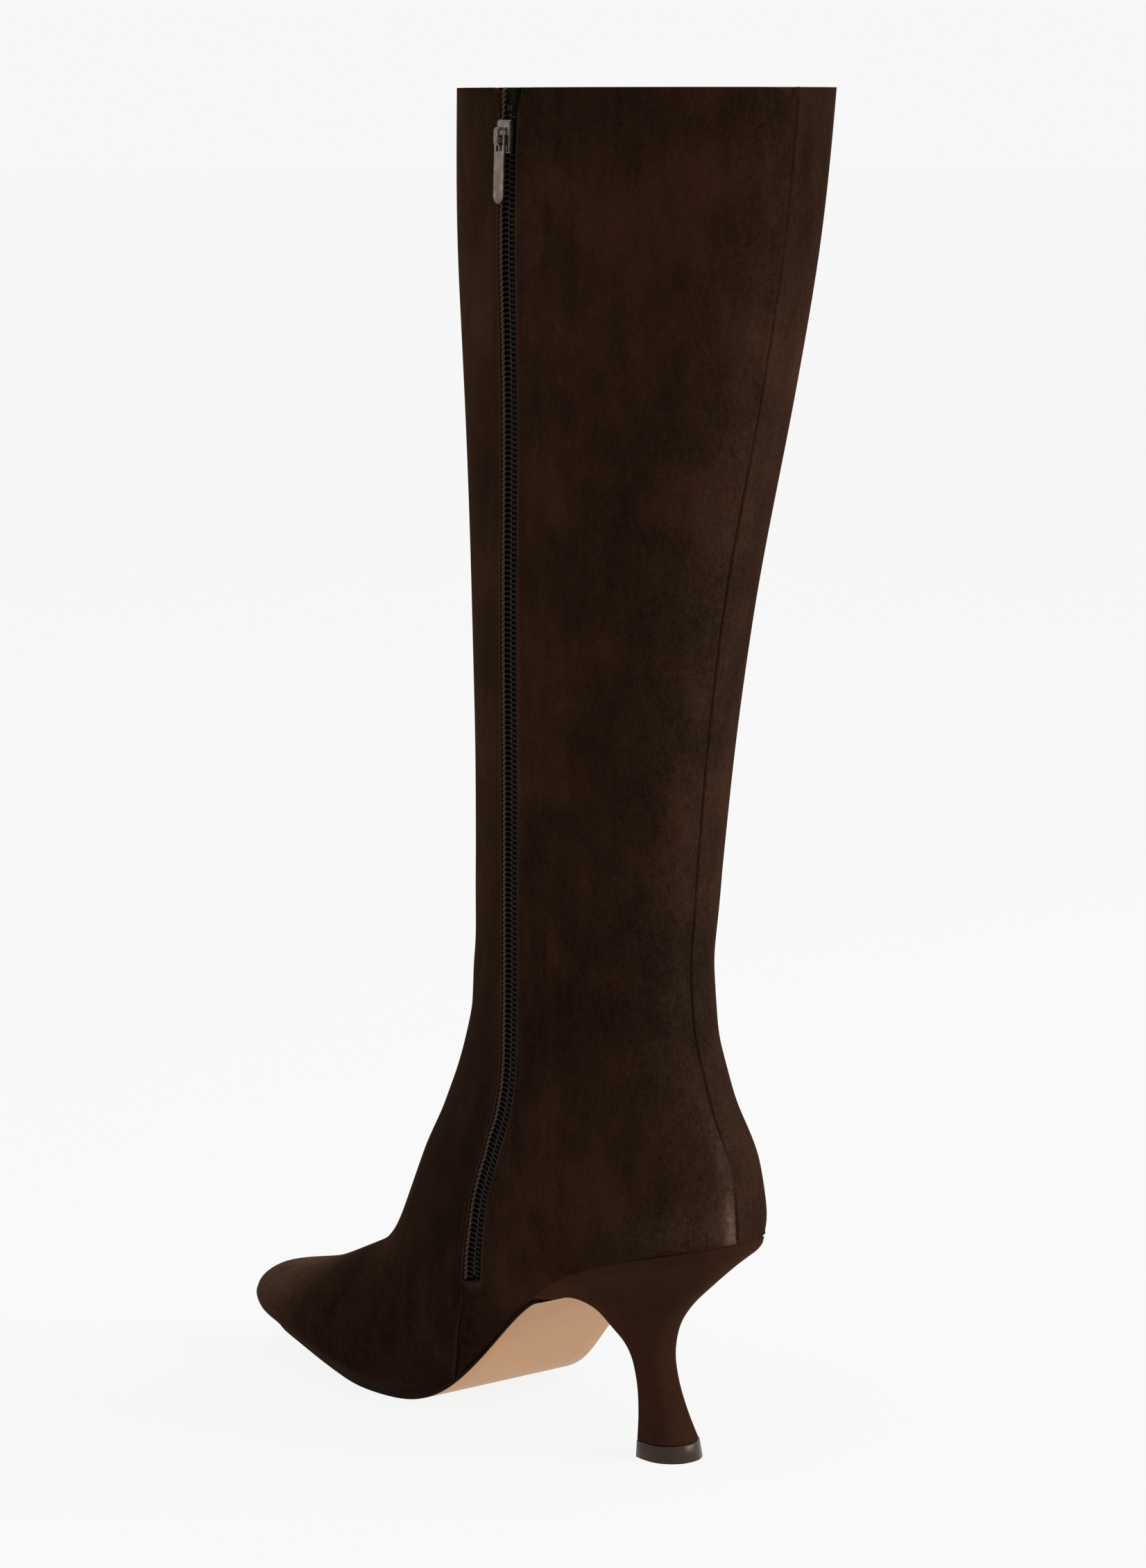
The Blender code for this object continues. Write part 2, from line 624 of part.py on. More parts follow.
def make_zip_slider(frame, crown, look):
    """Slider over the coil, with a bridge that the pull tab's bar passes under."""
    width, height, length = SLIDER_SIZE
    foot = GAP
    top = GAP + height
    end = 0.5 * length
    shoulder = top - SLIDER_BEVEL
    level_end = end - SLIDER_BEVEL
    block = ((foot, -end), (shoulder, -end), (top, -level_end))
    block += ((top, level_end), (shoulder, end), (foot, end))
    slider = finish("zip_slider", prism(block, width), look)

    reach = 0.5 * BRIDGE_LENGTH
    inner = reach - BRIDGE_THICK
    crest = top + BRIDGE_OPEN + BRIDGE_THICK
    ceiling = crest - BRIDGE_THICK
    shoulder = crest - SLIDER_BEVEL
    level_reach = reach - SLIDER_BEVEL
    root = top - BRIDGE_ROOT
    outside = ((root, -reach), (shoulder, -reach), (crest, -level_reach))
    outside += ((crest, level_reach), (shoulder, reach), (root, reach))
    way_under = ((root, inner), (ceiling, inner), (ceiling, -inner), (root, -inner))
    bridge = finish("slider_bridge_form", prism(outside + way_under, BRIDGE_WIDTH), look)
    combine(slider, bridge, "UNION")
    slider.matrix_world = Matrix.Translation(crown) @ frame.to_4x4()
    return slider


def make_zip_pull(frame, crown, look):
    """Flat tab that hangs from a bar under the slider's bridge; its origin is the bar's axis."""
    bar = 0.5 * PULL_THICK
    half = 0.5 * PULL_WIDTH
    edge = []
    for turn in np.linspace(0, math.pi, PULL_ROUND_POINTS):
        edge.append((half * math.cos(turn), half - PULL_LENGTH - half * math.sin(turn)))
    edge += [(-half, bar), (half, bar)]
    pull = finish("zip_pull", prism(edge, PULL_THICK, turned=True), look)

    side = 0.5 * PULL_WINDOW_WIDTH
    low = -bar - PULL_WINDOW
    opening = ((-side, low), (side, low), (side, -bar), (-side, -bar))
    window = finish("pull_window_form", prism(opening, 2 * PULL_THICK, turned=True), look)
    combine(pull, window, "DIFFERENCE")
    axis = crown + frame @ Vector((0, GAP + SLIDER_SIZE[1] + 0.5 * BRIDGE_OPEN, 0)) * MM
    pull.matrix_world = Matrix.Translation(axis) @ frame.to_4x4()
    return pull


def main():
    for obj in list(bpy.data.objects):
        bpy.data.objects.remove(obj, do_unlink=True)
    suede = material("brown_suede", (0.060, 0.033, 0.024), 0.95)
    cover = material("heel_cover_suede", (0.055, 0.031, 0.023), 0.95)
    leather = material("tan_leather", (0.56, 0.38, 0.24), 0.55)
    lining = material("insole_leather", (0.42, 0.28, 0.18), 0.6)
    rubber = material("polished_heel_rubber", (0.045, 0.022, 0.016), 0.25)
    coil = material("brown_zip_coil", (0.022, 0.014, 0.012), 0.5)
    metal = material("dark_zip_metal", (0.10, 0.07, 0.055), 0.35, 1.0)

    form = Skin()
    pieces = [
        make_upper(form, suede),
        make_insole(lining),
        make_outsole(leather),
        ring_solid("heel_cover", heel_rings(), cover),
        make_heel_tip(rubber),
        make_zip_tape(form, coil),
    ]
    frame, crown = zip_frame(form)
    pieces.append(make_zip_slider(frame, crown, metal))
    pieces.append(make_zip_pull(frame, crown, metal))
    form.mesh.free()

    root = bpy.data.objects.new("boot", None)
    bpy.context.collection.objects.link(root)
    for piece in pieces:
        piece.parent = root


if __name__ == "__main__":
    main()
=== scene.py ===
"""Looks of a tall suede boot with a slim heel and an inside zip.

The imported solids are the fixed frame: metres, +Z up, the toe along -Y and the zip on
the +X side. Each operator makes one piece, or a group of like pieces, from the solid
that it stands for, and the last one sets the studio.
"""

import json
import math

import bpy
import numpy as np
from mathutils import Matrix, Vector

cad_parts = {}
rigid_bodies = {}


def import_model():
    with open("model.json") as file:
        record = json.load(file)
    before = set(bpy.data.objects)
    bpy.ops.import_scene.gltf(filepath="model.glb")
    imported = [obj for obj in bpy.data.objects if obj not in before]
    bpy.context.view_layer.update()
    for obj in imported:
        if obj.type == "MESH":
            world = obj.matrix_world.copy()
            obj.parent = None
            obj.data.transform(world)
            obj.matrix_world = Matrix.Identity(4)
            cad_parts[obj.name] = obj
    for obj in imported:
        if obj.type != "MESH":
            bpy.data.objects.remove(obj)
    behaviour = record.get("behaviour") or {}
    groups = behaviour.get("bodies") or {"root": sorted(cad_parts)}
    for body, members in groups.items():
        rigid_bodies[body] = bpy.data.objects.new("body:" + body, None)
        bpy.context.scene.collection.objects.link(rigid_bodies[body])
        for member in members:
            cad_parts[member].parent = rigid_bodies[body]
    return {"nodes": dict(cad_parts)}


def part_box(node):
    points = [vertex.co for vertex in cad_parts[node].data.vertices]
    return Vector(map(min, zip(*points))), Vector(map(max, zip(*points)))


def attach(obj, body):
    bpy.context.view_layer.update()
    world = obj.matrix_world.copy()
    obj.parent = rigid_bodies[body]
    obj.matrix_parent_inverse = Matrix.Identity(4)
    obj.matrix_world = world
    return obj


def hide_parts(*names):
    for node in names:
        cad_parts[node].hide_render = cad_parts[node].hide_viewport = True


bl_info = {
    "name": "Tall heeled boot",
    "version": (1, 0, 0),
    "blender": (4, 5, 0),
    "location": "View3D > Sidebar > Boot",
    "description": "Makes the suede, zip, stitches, sole and heel of a tall heeled boot",
    "category": "Object",
}

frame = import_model()
MM = 0.001
BOOT = "boot"
PULL_TAB = "pull_tab"
UPPER_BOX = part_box("upper")
SLIDER_TOP = UPPER_BOX[1].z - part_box("zip_slider")[1].z   # down the zip's line from the collar
SIDE_SEAM = (   # x, y and z in millimetres, from the foot of the zip's slot down to the sole
    (34, -70.5, 52.5), (33.5, -70.5, 46.5), (33, -72.5, 40.5), (30, -78, 26), (25.5, -84.5, 12),
)
SHARP = math.radians(42)   # an edge that turns by more than this is an edge of the real piece
FOLD_REACH = 10   # the "fold" mask counts down from this, by 1 a millimetre from the slot's edge
LAP_LEVEL = 20    # the "lap" mask on the side seam; it grows by 1 a millimetre to the front
LAP_REACH = 12    # how far from the seam, in millimetres, the "lap" mask still changes
COIL_SHIFT = -0.3 * MM   # from the zip's line back to the middle of its coil


# ---- what a user would change

class BootColours(bpy.types.PropertyGroup):
    """Colours of the boot's finishes."""

    suede_deep: bpy.props.FloatVectorProperty(
        name="Suede, deep", description="Suede where its nap lies flat",
        default=(0.0075, 0.0036, 0.0022), size=3, min=0, max=1, subtype="COLOR")
    suede_warm: bpy.props.FloatVectorProperty(
        name="Suede, warm", description="Suede where its nap stands up",
        default=(0.025, 0.0112, 0.0066), size=3, min=0, max=1, subtype="COLOR")
    suede_red: bpy.props.FloatVectorProperty(
        name="Suede, red", description="Reddish cast in the suede's softer patches",
        default=(0.034, 0.0128, 0.0072), size=3, min=0, max=1, subtype="COLOR")
    # Brushed-up nap, and also the painted light on the back, the shin and the heel's rim.
    suede_rubbed_and_lit: bpy.props.FloatVectorProperty(
        name="Suede, rubbed", description="Suede that has been brushed against its nap",
        default=(0.105, 0.064, 0.043), size=3, min=0, max=1, subtype="COLOR")
    lining: bpy.props.FloatVectorProperty(
        name="Lining", description="Leather inside the leg and the foot",
        default=(0.27, 0.165, 0.095), size=3, min=0, max=1, subtype="COLOR")
    sole: bpy.props.FloatVectorProperty(
        name="Sole", description="Leather of the sole's underside",
        default=(0.52, 0.275, 0.122), size=3, min=0, max=1, subtype="COLOR")
    edge: bpy.props.FloatVectorProperty(
        name="Sole edge", description="Stained edge of the sole",
        default=(0.007, 0.004, 0.003), size=3, min=0, max=1, subtype="COLOR")
    burnish: bpy.props.FloatVectorProperty(
        name="Burnished rim", description="Thin rim between the sole's edge and its underside",
        default=(0.19, 0.080, 0.042), size=3, min=0, max=1, subtype="COLOR")
    tip: bpy.props.FloatVectorProperty(
        name="Heel tip", description="Polished rubber of the heel's tip",
        default=(0.025, 0.0135, 0.0085), size=3, min=0, max=1, subtype="COLOR")
    coil: bpy.props.FloatVectorProperty(
        name="Coil", description="Nylon coil and tape of the zip",
        default=(0.0066, 0.0064, 0.0048), size=3, min=0, max=1, subtype="COLOR")
    # A painted glint: a lighter finish on top of the coil's loops, where their highlights would be.
    shine: bpy.props.FloatVectorProperty(
        name="Coil shine", description="Crowns of the coil that the slider has polished",
        default=(0.090, 0.085, 0.070), size=3, min=0, max=1, subtype="COLOR")
    thread: bpy.props.FloatVectorProperty(
        name="Thread", description="Thread that holds the zip's coil",
        default=(0.034, 0.0175, 0.016), size=3, min=0, max=1, subtype="COLOR")
    edging: bpy.props.FloatVectorProperty(
        name="Edging", description="Thread wrapped round the edge of the zip's tape",
        default=(0.050, 0.032, 0.026), size=3, min=0, max=1, subtype="COLOR")
    sewing: bpy.props.FloatVectorProperty(
        name="Sewing", description="Thread that sews the suede beside the zip",
        default=(0.020, 0.0105, 0.0072), size=3, min=0, max=1, subtype="COLOR")
    metal: bpy.props.FloatVectorProperty(
        name="Metal", description="Slider and pull tab",
        default=(0.11, 0.085, 0.070), size=3, min=0, max=1, subtype="COLOR")


class BootSizes(bpy.types.PropertyGroup):
    """Sizes of the boot's small work."""

    coil_pitch: bpy.props.FloatProperty(
        name="Coil pitch", description="Distance between two loops of the coil",
        default=1.75 * MM, min=0.5 * MM, max=4 * MM, unit="LENGTH")
    slot_half_width: bpy.props.FloatProperty(
        name="Slot half width", description="From the zip's middle to its slot's edge, before the widening",
        default=4.0 * MM, min=2 * MM, max=8 * MM, unit="LENGTH")
    slot_widening: bpy.props.FloatProperty(
        name="Slot widening", description="How far the suede is drawn back on each side of the zip",
        default=0.7 * MM, min=0, max=2 * MM, unit="LENGTH")
    stitch_pitch: bpy.props.FloatProperty(
        name="Stitch pitch", description="Distance between two stitches beside the zip",
        default=2.6 * MM, min=1 * MM, max=8 * MM, unit="LENGTH")
    stitch_inset: bpy.props.FloatProperty(
        name="Stitch inset", description="From the slot's edge to the stitches beside it",
        default=3.2 * MM, min=1 * MM, max=6 * MM, unit="LENGTH")
    seam_depth: bpy.props.FloatProperty(
        name="Seam depth", description="How deep a sewn seam lies in the suede",
        default=0.45 * MM, min=0, max=1 * MM, unit="LENGTH")
    rim_round: bpy.props.FloatProperty(
        name="Rim rounding", description="Rounding of the turned edges of the suede",
        default=0.45 * MM, min=0.05 * MM, max=1 * MM, unit="LENGTH")
    crease_depth: bpy.props.FloatProperty(
        name="Crease depth", description="Depth of the soft creases round the ankle",
        default=0.8 * MM, min=0, max=3 * MM, unit="LENGTH")


# ---- selecting and editing

SELECT_MODES = {
    "vertices": (True, False, False),
    "edges": (False, True, False),
    "polygons": (False, False, True),
}


def pick(*pieces):
    """Selects these pieces alone, and makes the last one active."""
    bpy.ops.object.select_all(action="DESELECT")
    for piece in pieces:
        piece.select_set(True)
    bpy.context.view_layer.objects.active = pieces[-1]


def edit_chosen(piece, kind, wanted):
    """Opens a piece in edit mode with only these vertices, edges or polygons selected."""
    pick(piece)
    mesh = piece.data
    for each in SELECT_MODES:
        parts = getattr(mesh, each)
        chosen = np.zeros(len(parts), bool)
        if each == kind:
            chosen[:] = wanted
        parts.foreach_set("select", chosen)
    bpy.context.tool_settings.mesh_select_mode = SELECT_MODES[kind]
    bpy.ops.object.mode_set(mode="EDIT")


def close_edit():
    """Goes back from edit mode to the whole object."""
    bpy.ops.object.mode_set(mode="OBJECT")


def points_of(piece):
    """Vertices of a piece as rows of x, y, z."""
    points = np.empty(3 * len(piece.data.vertices))
    piece.data.vertices.foreach_get("co", points)
    return points.reshape(-1, 3)


def normals_of(piece):
    """The way out at each vertex of a piece."""
    normals = np.empty(3 * len(piece.data.vertices))
    piece.data.vertices.foreach_get("normal", normals)
    return normals.reshape(-1, 3)


def move_points(piece, points):
    """Puts the vertices of a piece at these places."""
    piece.data.vertices.foreach_set("co", points.ravel())
    piece.data.update()


def selected(piece, kind):
    """For each vertex, edge or polygon, whether it is selected."""
    parts = getattr(piece.data, kind)
    flags = np.zeros(len(parts), bool)
    parts.foreach_get("select", flags)
    return flags


def edges_within(piece, inside):
    """For each edge, whether both its ends are among the chosen vertices."""
    return [inside[list(edge.vertices)].all() for edge in piece.data.edges]


def border_edges(piece):
    """For each edge, whether two finishes meet at it."""
    sides = {}
    for face in piece.data.polygons:
        for key in face.edge_keys:
            sides.setdefault(key, set()).add(face.material_index)
    return [len(sides[edge.key]) > 1 for edge in piece.data.edges]


def nearest_place(target, point):
    """The place on an object's faces that is nearest to a point, and the way out there."""
    found, place, normal = target.closest_point_on_mesh(Vector(point))[:3]
    if not found:
        raise RuntimeError("no face of " + target.name + " is near the point")
    return place, normal


def new_primitive(maker, **settings):
    """Adds a primitive with nothing else selected, its place and size kept in its mesh."""
    bpy.ops.object.select_all(action="DESELECT")
    maker(**settings)
    bpy.ops.object.transform_apply(location=True, rotation=True, scale=True)
    return bpy.context.view_layer.objects.active


def cut_across(piece, place, normal):
    """Adds a ring of edges where a plane crosses a piece."""
    edit_chosen(piece, "polygons", True)
    bpy.ops.mesh.bisect(plane_co=place, plane_no=normal)
    close_edit()


# ---- numbers that rise and fall

def ramp(value, low, high):
    """0 at low and before it, 1 at high and past it, and a straight rise between them."""
    return np.clip((value - low) / (high - low), 0, 1)


def ease(share):
    """A rise from 0 to 1, made soft at both ends."""
    return share ** 2 * (3 - 2 * share)


def near(points, centre, radius):
    """1 at a place, and fading to nothing round it; the radius may differ for each axis."""
    away = (points - np.asarray(centre)) / np.asarray(radius)
    return np.exp(-(away ** 2).sum(axis=1))


# ---- forms taken from the solids

def merged_copy(node, name):
    """Editable copy of a solid, its loose triangles merged into faces of four sides."""
    solid = frame["nodes"][node]
    piece = bpy.data.objects.new(name, solid.data.copy())
    bpy.context.scene.collection.objects.link(piece)
    piece.data.materials.clear()
    edit_chosen(piece, "vertices", True)
    bpy.ops.mesh.remove_doubles(threshold=0.01 * MM)
    bpy.ops.mesh.tris_convert_to_quads(
        face_threshold=math.radians(60), shape_threshold=math.radians(180))
    close_edit()
    bpy.ops.mesh.customdata_custom_splitnormals_clear()
    return piece


def mark_sharp_edges(piece):
    """Marks a solid's sharp edges as seams, so that its faces can be told apart."""
    edit_chosen(piece, "edges", False)
    bpy.ops.mesh.edges_select_sharp(sharpness=SHARP)
    bpy.ops.mesh.mark_seam(clear=False)
    close_edit()


def crease_sharp_edges(piece, angle=SHARP):
    """Keeps a solid's sharp edges when it is subdivided."""
    edit_chosen(piece, "edges", False)
    bpy.ops.mesh.edges_select_sharp(sharpness=angle)
    bpy.ops.transform.edge_crease(value=1.0)
    close_edit()


def crease_edges(piece, wanted, share=1.0):
    """Keeps these edges sharp, or nearly so, when the piece is subdivided."""
    edit_chosen(piece, "edges", wanted)
    bpy.ops.transform.edge_crease(value=share)
    close_edit()


def add_modifier(piece, kind, **settings):
    """Adds a modifier, sets it and applies it at once."""
    pick(piece)
    modifier = piece.modifiers.new(kind.title(), kind)
    for name, value in settings.items():
        setattr(modifier, name, value)
    bpy.ops.object.modifier_apply(modifier=modifier.name)


def smooth_form(piece, levels, rounding, angle=SHARP):
    """Subdivides a form, rounds its creased edges and shades it smooth."""
    if levels:
        add_modifier(piece, "SUBSURF", levels=levels, render_levels=levels)
    if rounding:
        add_modifier(piece, "BEVEL", width=rounding, segments=3, limit_method="ANGLE",
                     angle_limit=angle, use_clamp_overlap=True)
    pick(piece)
    bpy.ops.object.shade_smooth_by_angle(angle=math.radians(50))


def faces_round(piece, seed):
    """Faces that the marked seams shut in together with one seed face."""
    edit_chosen(piece, "polygons", np.arange(len(piece.data.polygons)) == seed)
    bpy.ops.mesh.select_linked(delimit={"SEAM"})
    close_edit()
    return selected(piece, "polygons")


def face_table(piece):
    """Centres and normals of a piece's faces."""
    count = len(piece.data.polygons)
    centres = np.empty(3 * count)
    normals = np.empty(3 * count)
    piece.data.polygons.foreach_get("center", centres)
    piece.data.polygons.foreach_get("normal", normals)
    return centres.reshape(-1, 3), normals.reshape(-1, 3)


def give_material(piece, looks, slots=None):
    """Puts finishes on a piece; slots says which of them each face wears."""
    piece.data.materials.clear()
    for look in looks:
        piece.data.materials.append(look)
    if slots is not None:
        piece.data.polygons.foreach_set("material_index", np.asarray(slots, np.int32))
    piece.data.update()


def vertices_wearing(piece, slot):
    """Vertices whose faces all wear one finish."""
    inside = np.ones(len(piece.data.vertices), bool)
    for face in piece.data.polygons:
        if face.material_index != slot:
            inside[list(face.vertices)] = False
    return inside


# ---- lines on the surface

def distance_to_line(points, line):
    """Distance from each point to a line of points, and how far along the line it is."""
    best = np.full(len(points), np.inf)
    along = np.zeros(len(points))
    run = 0.0
    for start, end in zip(line[:-1], line[1:]):
        step = end - start
        length = np.linalg.norm(step)
        share = np.clip((points - start) @ step / length ** 2, 0, 1)
        away = np.linalg.norm(points - start - share[:, None] * step, axis=1)
        nearer = away < best
        best[nearer] = away[nearer]
        along[nearer] = run + share[nearer] * length
        run += length
    return best, along / run


def press_line(piece, line, width, depth, lip, where, fade=0.0):
    """Presses a soft trough along a line, with a low ridge at each side of it."""
    points = points_of(piece)
    away, along = distance_to_line(points, np.asarray(line))
    ratio = away / width
    ridge_place, ridge_width = 2.2, 0.9     # both as shares of the trough's width
    trough = -depth * np.exp(-ratio ** 2)
    profile = trough + lip * np.exp(-((ratio - ridge_place) / ridge_width) ** 2)
    if fade:
        profile = profile * ramp(along, 0, fade) * ramp(1 - along, 0, fade)
    profile = np.where(where, profile, 0)
    move_points(piece, points + normals_of(piece) * profile[:, None])


def set_mask(piece, name, values):
    """Stores a number for each vertex, for the finish to read."""
    layer = piece.data.attributes.new(name, "FLOAT", "POINT")
    layer.data.foreach_set("value", np.asarray(values, np.float32))


class Route:
    """A smooth line through points that lie on a surface, with the way out at each."""

    def __init__(self, points, outs):
        samples = 16    # spots between one point and the next
        points = np.asarray(points, float)
        outs = np.asarray(outs, float)
        slopes = np.gradient(points, axis=0)
        share = np.linspace(0, 1, samples, endpoint=False)[:, None]
        spots = []
        ways = []
        for i in range(len(points) - 1):
            start = points[i] * (2 * share ** 3 - 3 * share ** 2 + 1)
            end = points[i + 1] * (3 * share ** 2 - 2 * share ** 3)
            bend = slopes[i] * (share ** 3 - 2 * share ** 2 + share)
            spots.append(start + end + bend + slopes[i + 1] * (share ** 3 - share ** 2))
            ways.append(outs[i] * (1 - share) + outs[i + 1] * share)
        self.spots = np.concatenate(spots + [points[-1:]])
        self.ways = np.concatenate(ways + [outs[-1:]])
        steps = np.linalg.norm(np.diff(self.spots, axis=0), axis=1)
        self.run = np.concatenate([[0], np.cumsum(steps)])
        self.length = self.run[-1]

    def place(self, distance, across=0.0, out=0.0):
        """Axes and origin of a small piece: X across, Y along the line, Z out of the surface."""
        past = distance - min(max(distance, 0), self.length)
        distance -= past
        spot = self.value(self.spots, distance)
        along = Vector(self.ahead(distance)).normalized()
        way = Vector(self.value(self.ways, distance))
        way = (way - along * way.dot(along)).normalized()
        side = along.cross(way)
        origin = Vector(spot) + along * past + side * across + way * out
        return Matrix.Translation(origin) @ Matrix((side, along, way)).transposed().to_4x4()

    def value(self, table, distance):
        """The line's spot or way out, read from its table, at a distance along it."""
        return np.stack([np.interp(distance, self.run, table[:, k]) for k in range(3)], axis=-1)

    def ahead(self, distance):
        """One millimetre of the line, about a distance along it."""
        return self.value(self.spots, distance + 0.5 * MM) - self.value(self.spots, distance - 0.5 * MM)

    def measure(self, points):
        """How far along, across and straight away from the line each point is."""
        away, share = distance_to_line(points, self.spots)
        run = share * self.length
        side = np.cross(self.ahead(run), self.value(self.ways, run))
        side /= np.linalg.norm(side, axis=1)[:, None]
        across = ((points - self.value(self.spots, run)) * side).sum(axis=1)
        return run, across, away


# ---- small work that repeats

def lay_copies(pattern, places, name):
    """One smooth piece made of a copy of a small pattern at each place; the pattern is used up."""
    copies = []
    for place in places:
        copy = bpy.data.objects.new(name, pattern.data.copy())
        copy.data.transform(place)
        bpy.context.scene.collection.objects.link(copy)
        copies.append(copy)
    bpy.data.objects.remove(pattern)
    pick(*copies)
    bpy.ops.object.join()
    bpy.ops.object.shade_smooth()
    piece = bpy.context.view_layer.objects.active
    piece.name = name
    return piece


def make_stitch(length, thick):
    """A short arched length of thread that lies along Y, its ends drawn down into the work."""
    stitch = new_primitive(
        bpy.ops.mesh.primitive_cylinder_add, vertices=6, radius=0.5 * thick, depth=length,
        end_fill_type="NGON", rotation=(math.pi / 2, 0, 0))
    for share in (-0.32, 0.0, 0.32):
        cut_across(stitch, (0, share * length, 0), (0, 1, 0))
    ends = np.abs(points_of(stitch)[:, 1]) > 0.45 * length
    edit_chosen(stitch, "vertices", ends)
    bpy.ops.transform.translate(value=(0, 0, -0.55 * thick))
    close_edit()
    return stitch


# ---- finishes

class Wire:
    """A shader value that takes part in Python sums; each sum adds its Math node."""

    def __init__(self, finish, socket):
        self.finish = finish
        self.socket = socket

    def maths(self, operation, *values, clamp=False):
        """Adds a Math node that works on these values."""
        settings = {"operation": operation, "use_clamp": clamp}
        return self.finish.add("ShaderNodeMath", settings, dict(enumerate(values)))

    def __add__(self, other):
        return self.maths("ADD", self, other)

    def __radd__(self, other):
        return self.maths("ADD", other, self)

    def __sub__(self, other):
        return self.maths("SUBTRACT", self, other)

    def __rsub__(self, other):
        return self.maths("SUBTRACT", other, self)

    def __mul__(self, other):
        return self.maths("MULTIPLY", self, other)

    def sine(self):
        """The sine of the value, taken as an angle in radians."""
        return self.maths("SINE", self)

    def clamped(self):
        """The same value, kept between 0 and 1."""
        return self.maths("ADD", self, 0.0, clamp=True)

    def between(self, low, high):
        """0 below low, 1 above high and a smooth rise from one to the other."""
        settings = {"interpolation_type": "SMOOTHSTEP"}
        return self.finish.add("ShaderNodeMapRange", settings,
                               {"Value": self, "From Min": low, "From Max": high})


class Finish:
    """A material whose nodes are added one call at a time."""

    def __init__(self, name, **constants):
        self.material = bpy.data.materials.new(name)
        self.material.use_nodes = True
        self.tree = self.material.node_tree
        self.shader = self.tree.nodes["Principled BSDF"]
        self.wear(**constants)
        self.space = self.add("ShaderNodeTexCoord", {}, {}, "Object")

    def feed(self, socket, value):
        """Links a wire to a socket, or sets the socket to a value."""
        if isinstance(value, Wire):
            self.tree.links.new(value.socket, socket)
        elif isinstance(value, (int, float)):
            socket.default_value = value
        else:
            opaque = (1.0,) * (len(socket.default_value) - len(value))
            socket.default_value = tuple(value) + opaque

    def add(self, kind, settings, inputs, output=0):
        """Adds a node: its settings first, then the values or links of its sockets."""
        node = self.tree.nodes.new(kind)
        for name, value in settings.items():
            setattr(node, name, value)
        for name, value in inputs.items():
            self.feed(node.inputs[name], value)
        return Wire(self, node.outputs[output])

    def noise(self, scale, detail=2.0, roughness=0.5, stretch=(1, 1, 1), turn=(0, 0, 0)):
        """Cloudy pattern, from 0 to 1, drawn out along an axis where its stretch is under 1."""
        space = self.space
        if stretch != (1, 1, 1) or turn != (0, 0, 0):
            space = self.add("ShaderNodeMapping", {}, {"Vector": space, "Scale": stretch, "Rotation": turn})
        return self.add("ShaderNodeTexNoise", {}, {
            "Vector": space, "Scale": scale, "Detail": detail, "Roughness": roughness})

    def cells(self, scale):
        """Distance from the middle of each of many small cells."""
        return self.add("ShaderNodeTexVoronoi", {}, {"Vector": self.space, "Scale": scale}, "Distance")

    def mask(self, name):
        """A number that the piece's vertices carry."""
        return self.add("ShaderNodeAttribute", {"attribute_name": name}, {}, "Fac")

    def mix(self, share, first, second):
        """Colour between two others."""
        settings = {"data_type": "RGBA", "clamp_factor": True}
        return self.add("ShaderNodeMix", settings, {0: share, 6: first, 7: second}, 2)

    def wear(self, **wires):
        """Feeds sockets of the shader, named with _ for each space."""
        for socket, value in wires.items():
            self.feed(self.shader.inputs[socket.replace("_", " ")], value)

    def relief(self, height, depth, strength=1.0):
        """Bumps of a depth in metres, from a height between 0 and 1."""
        bump = self.add("ShaderNodeBump", {}, {"Height": height, "Distance": depth, "Strength": strength})
        self.wear(Normal=bump)


def shaded(colour, share):
    """The same colour, darker or lighter."""
    return tuple(min(1, share * part) for part in colour)


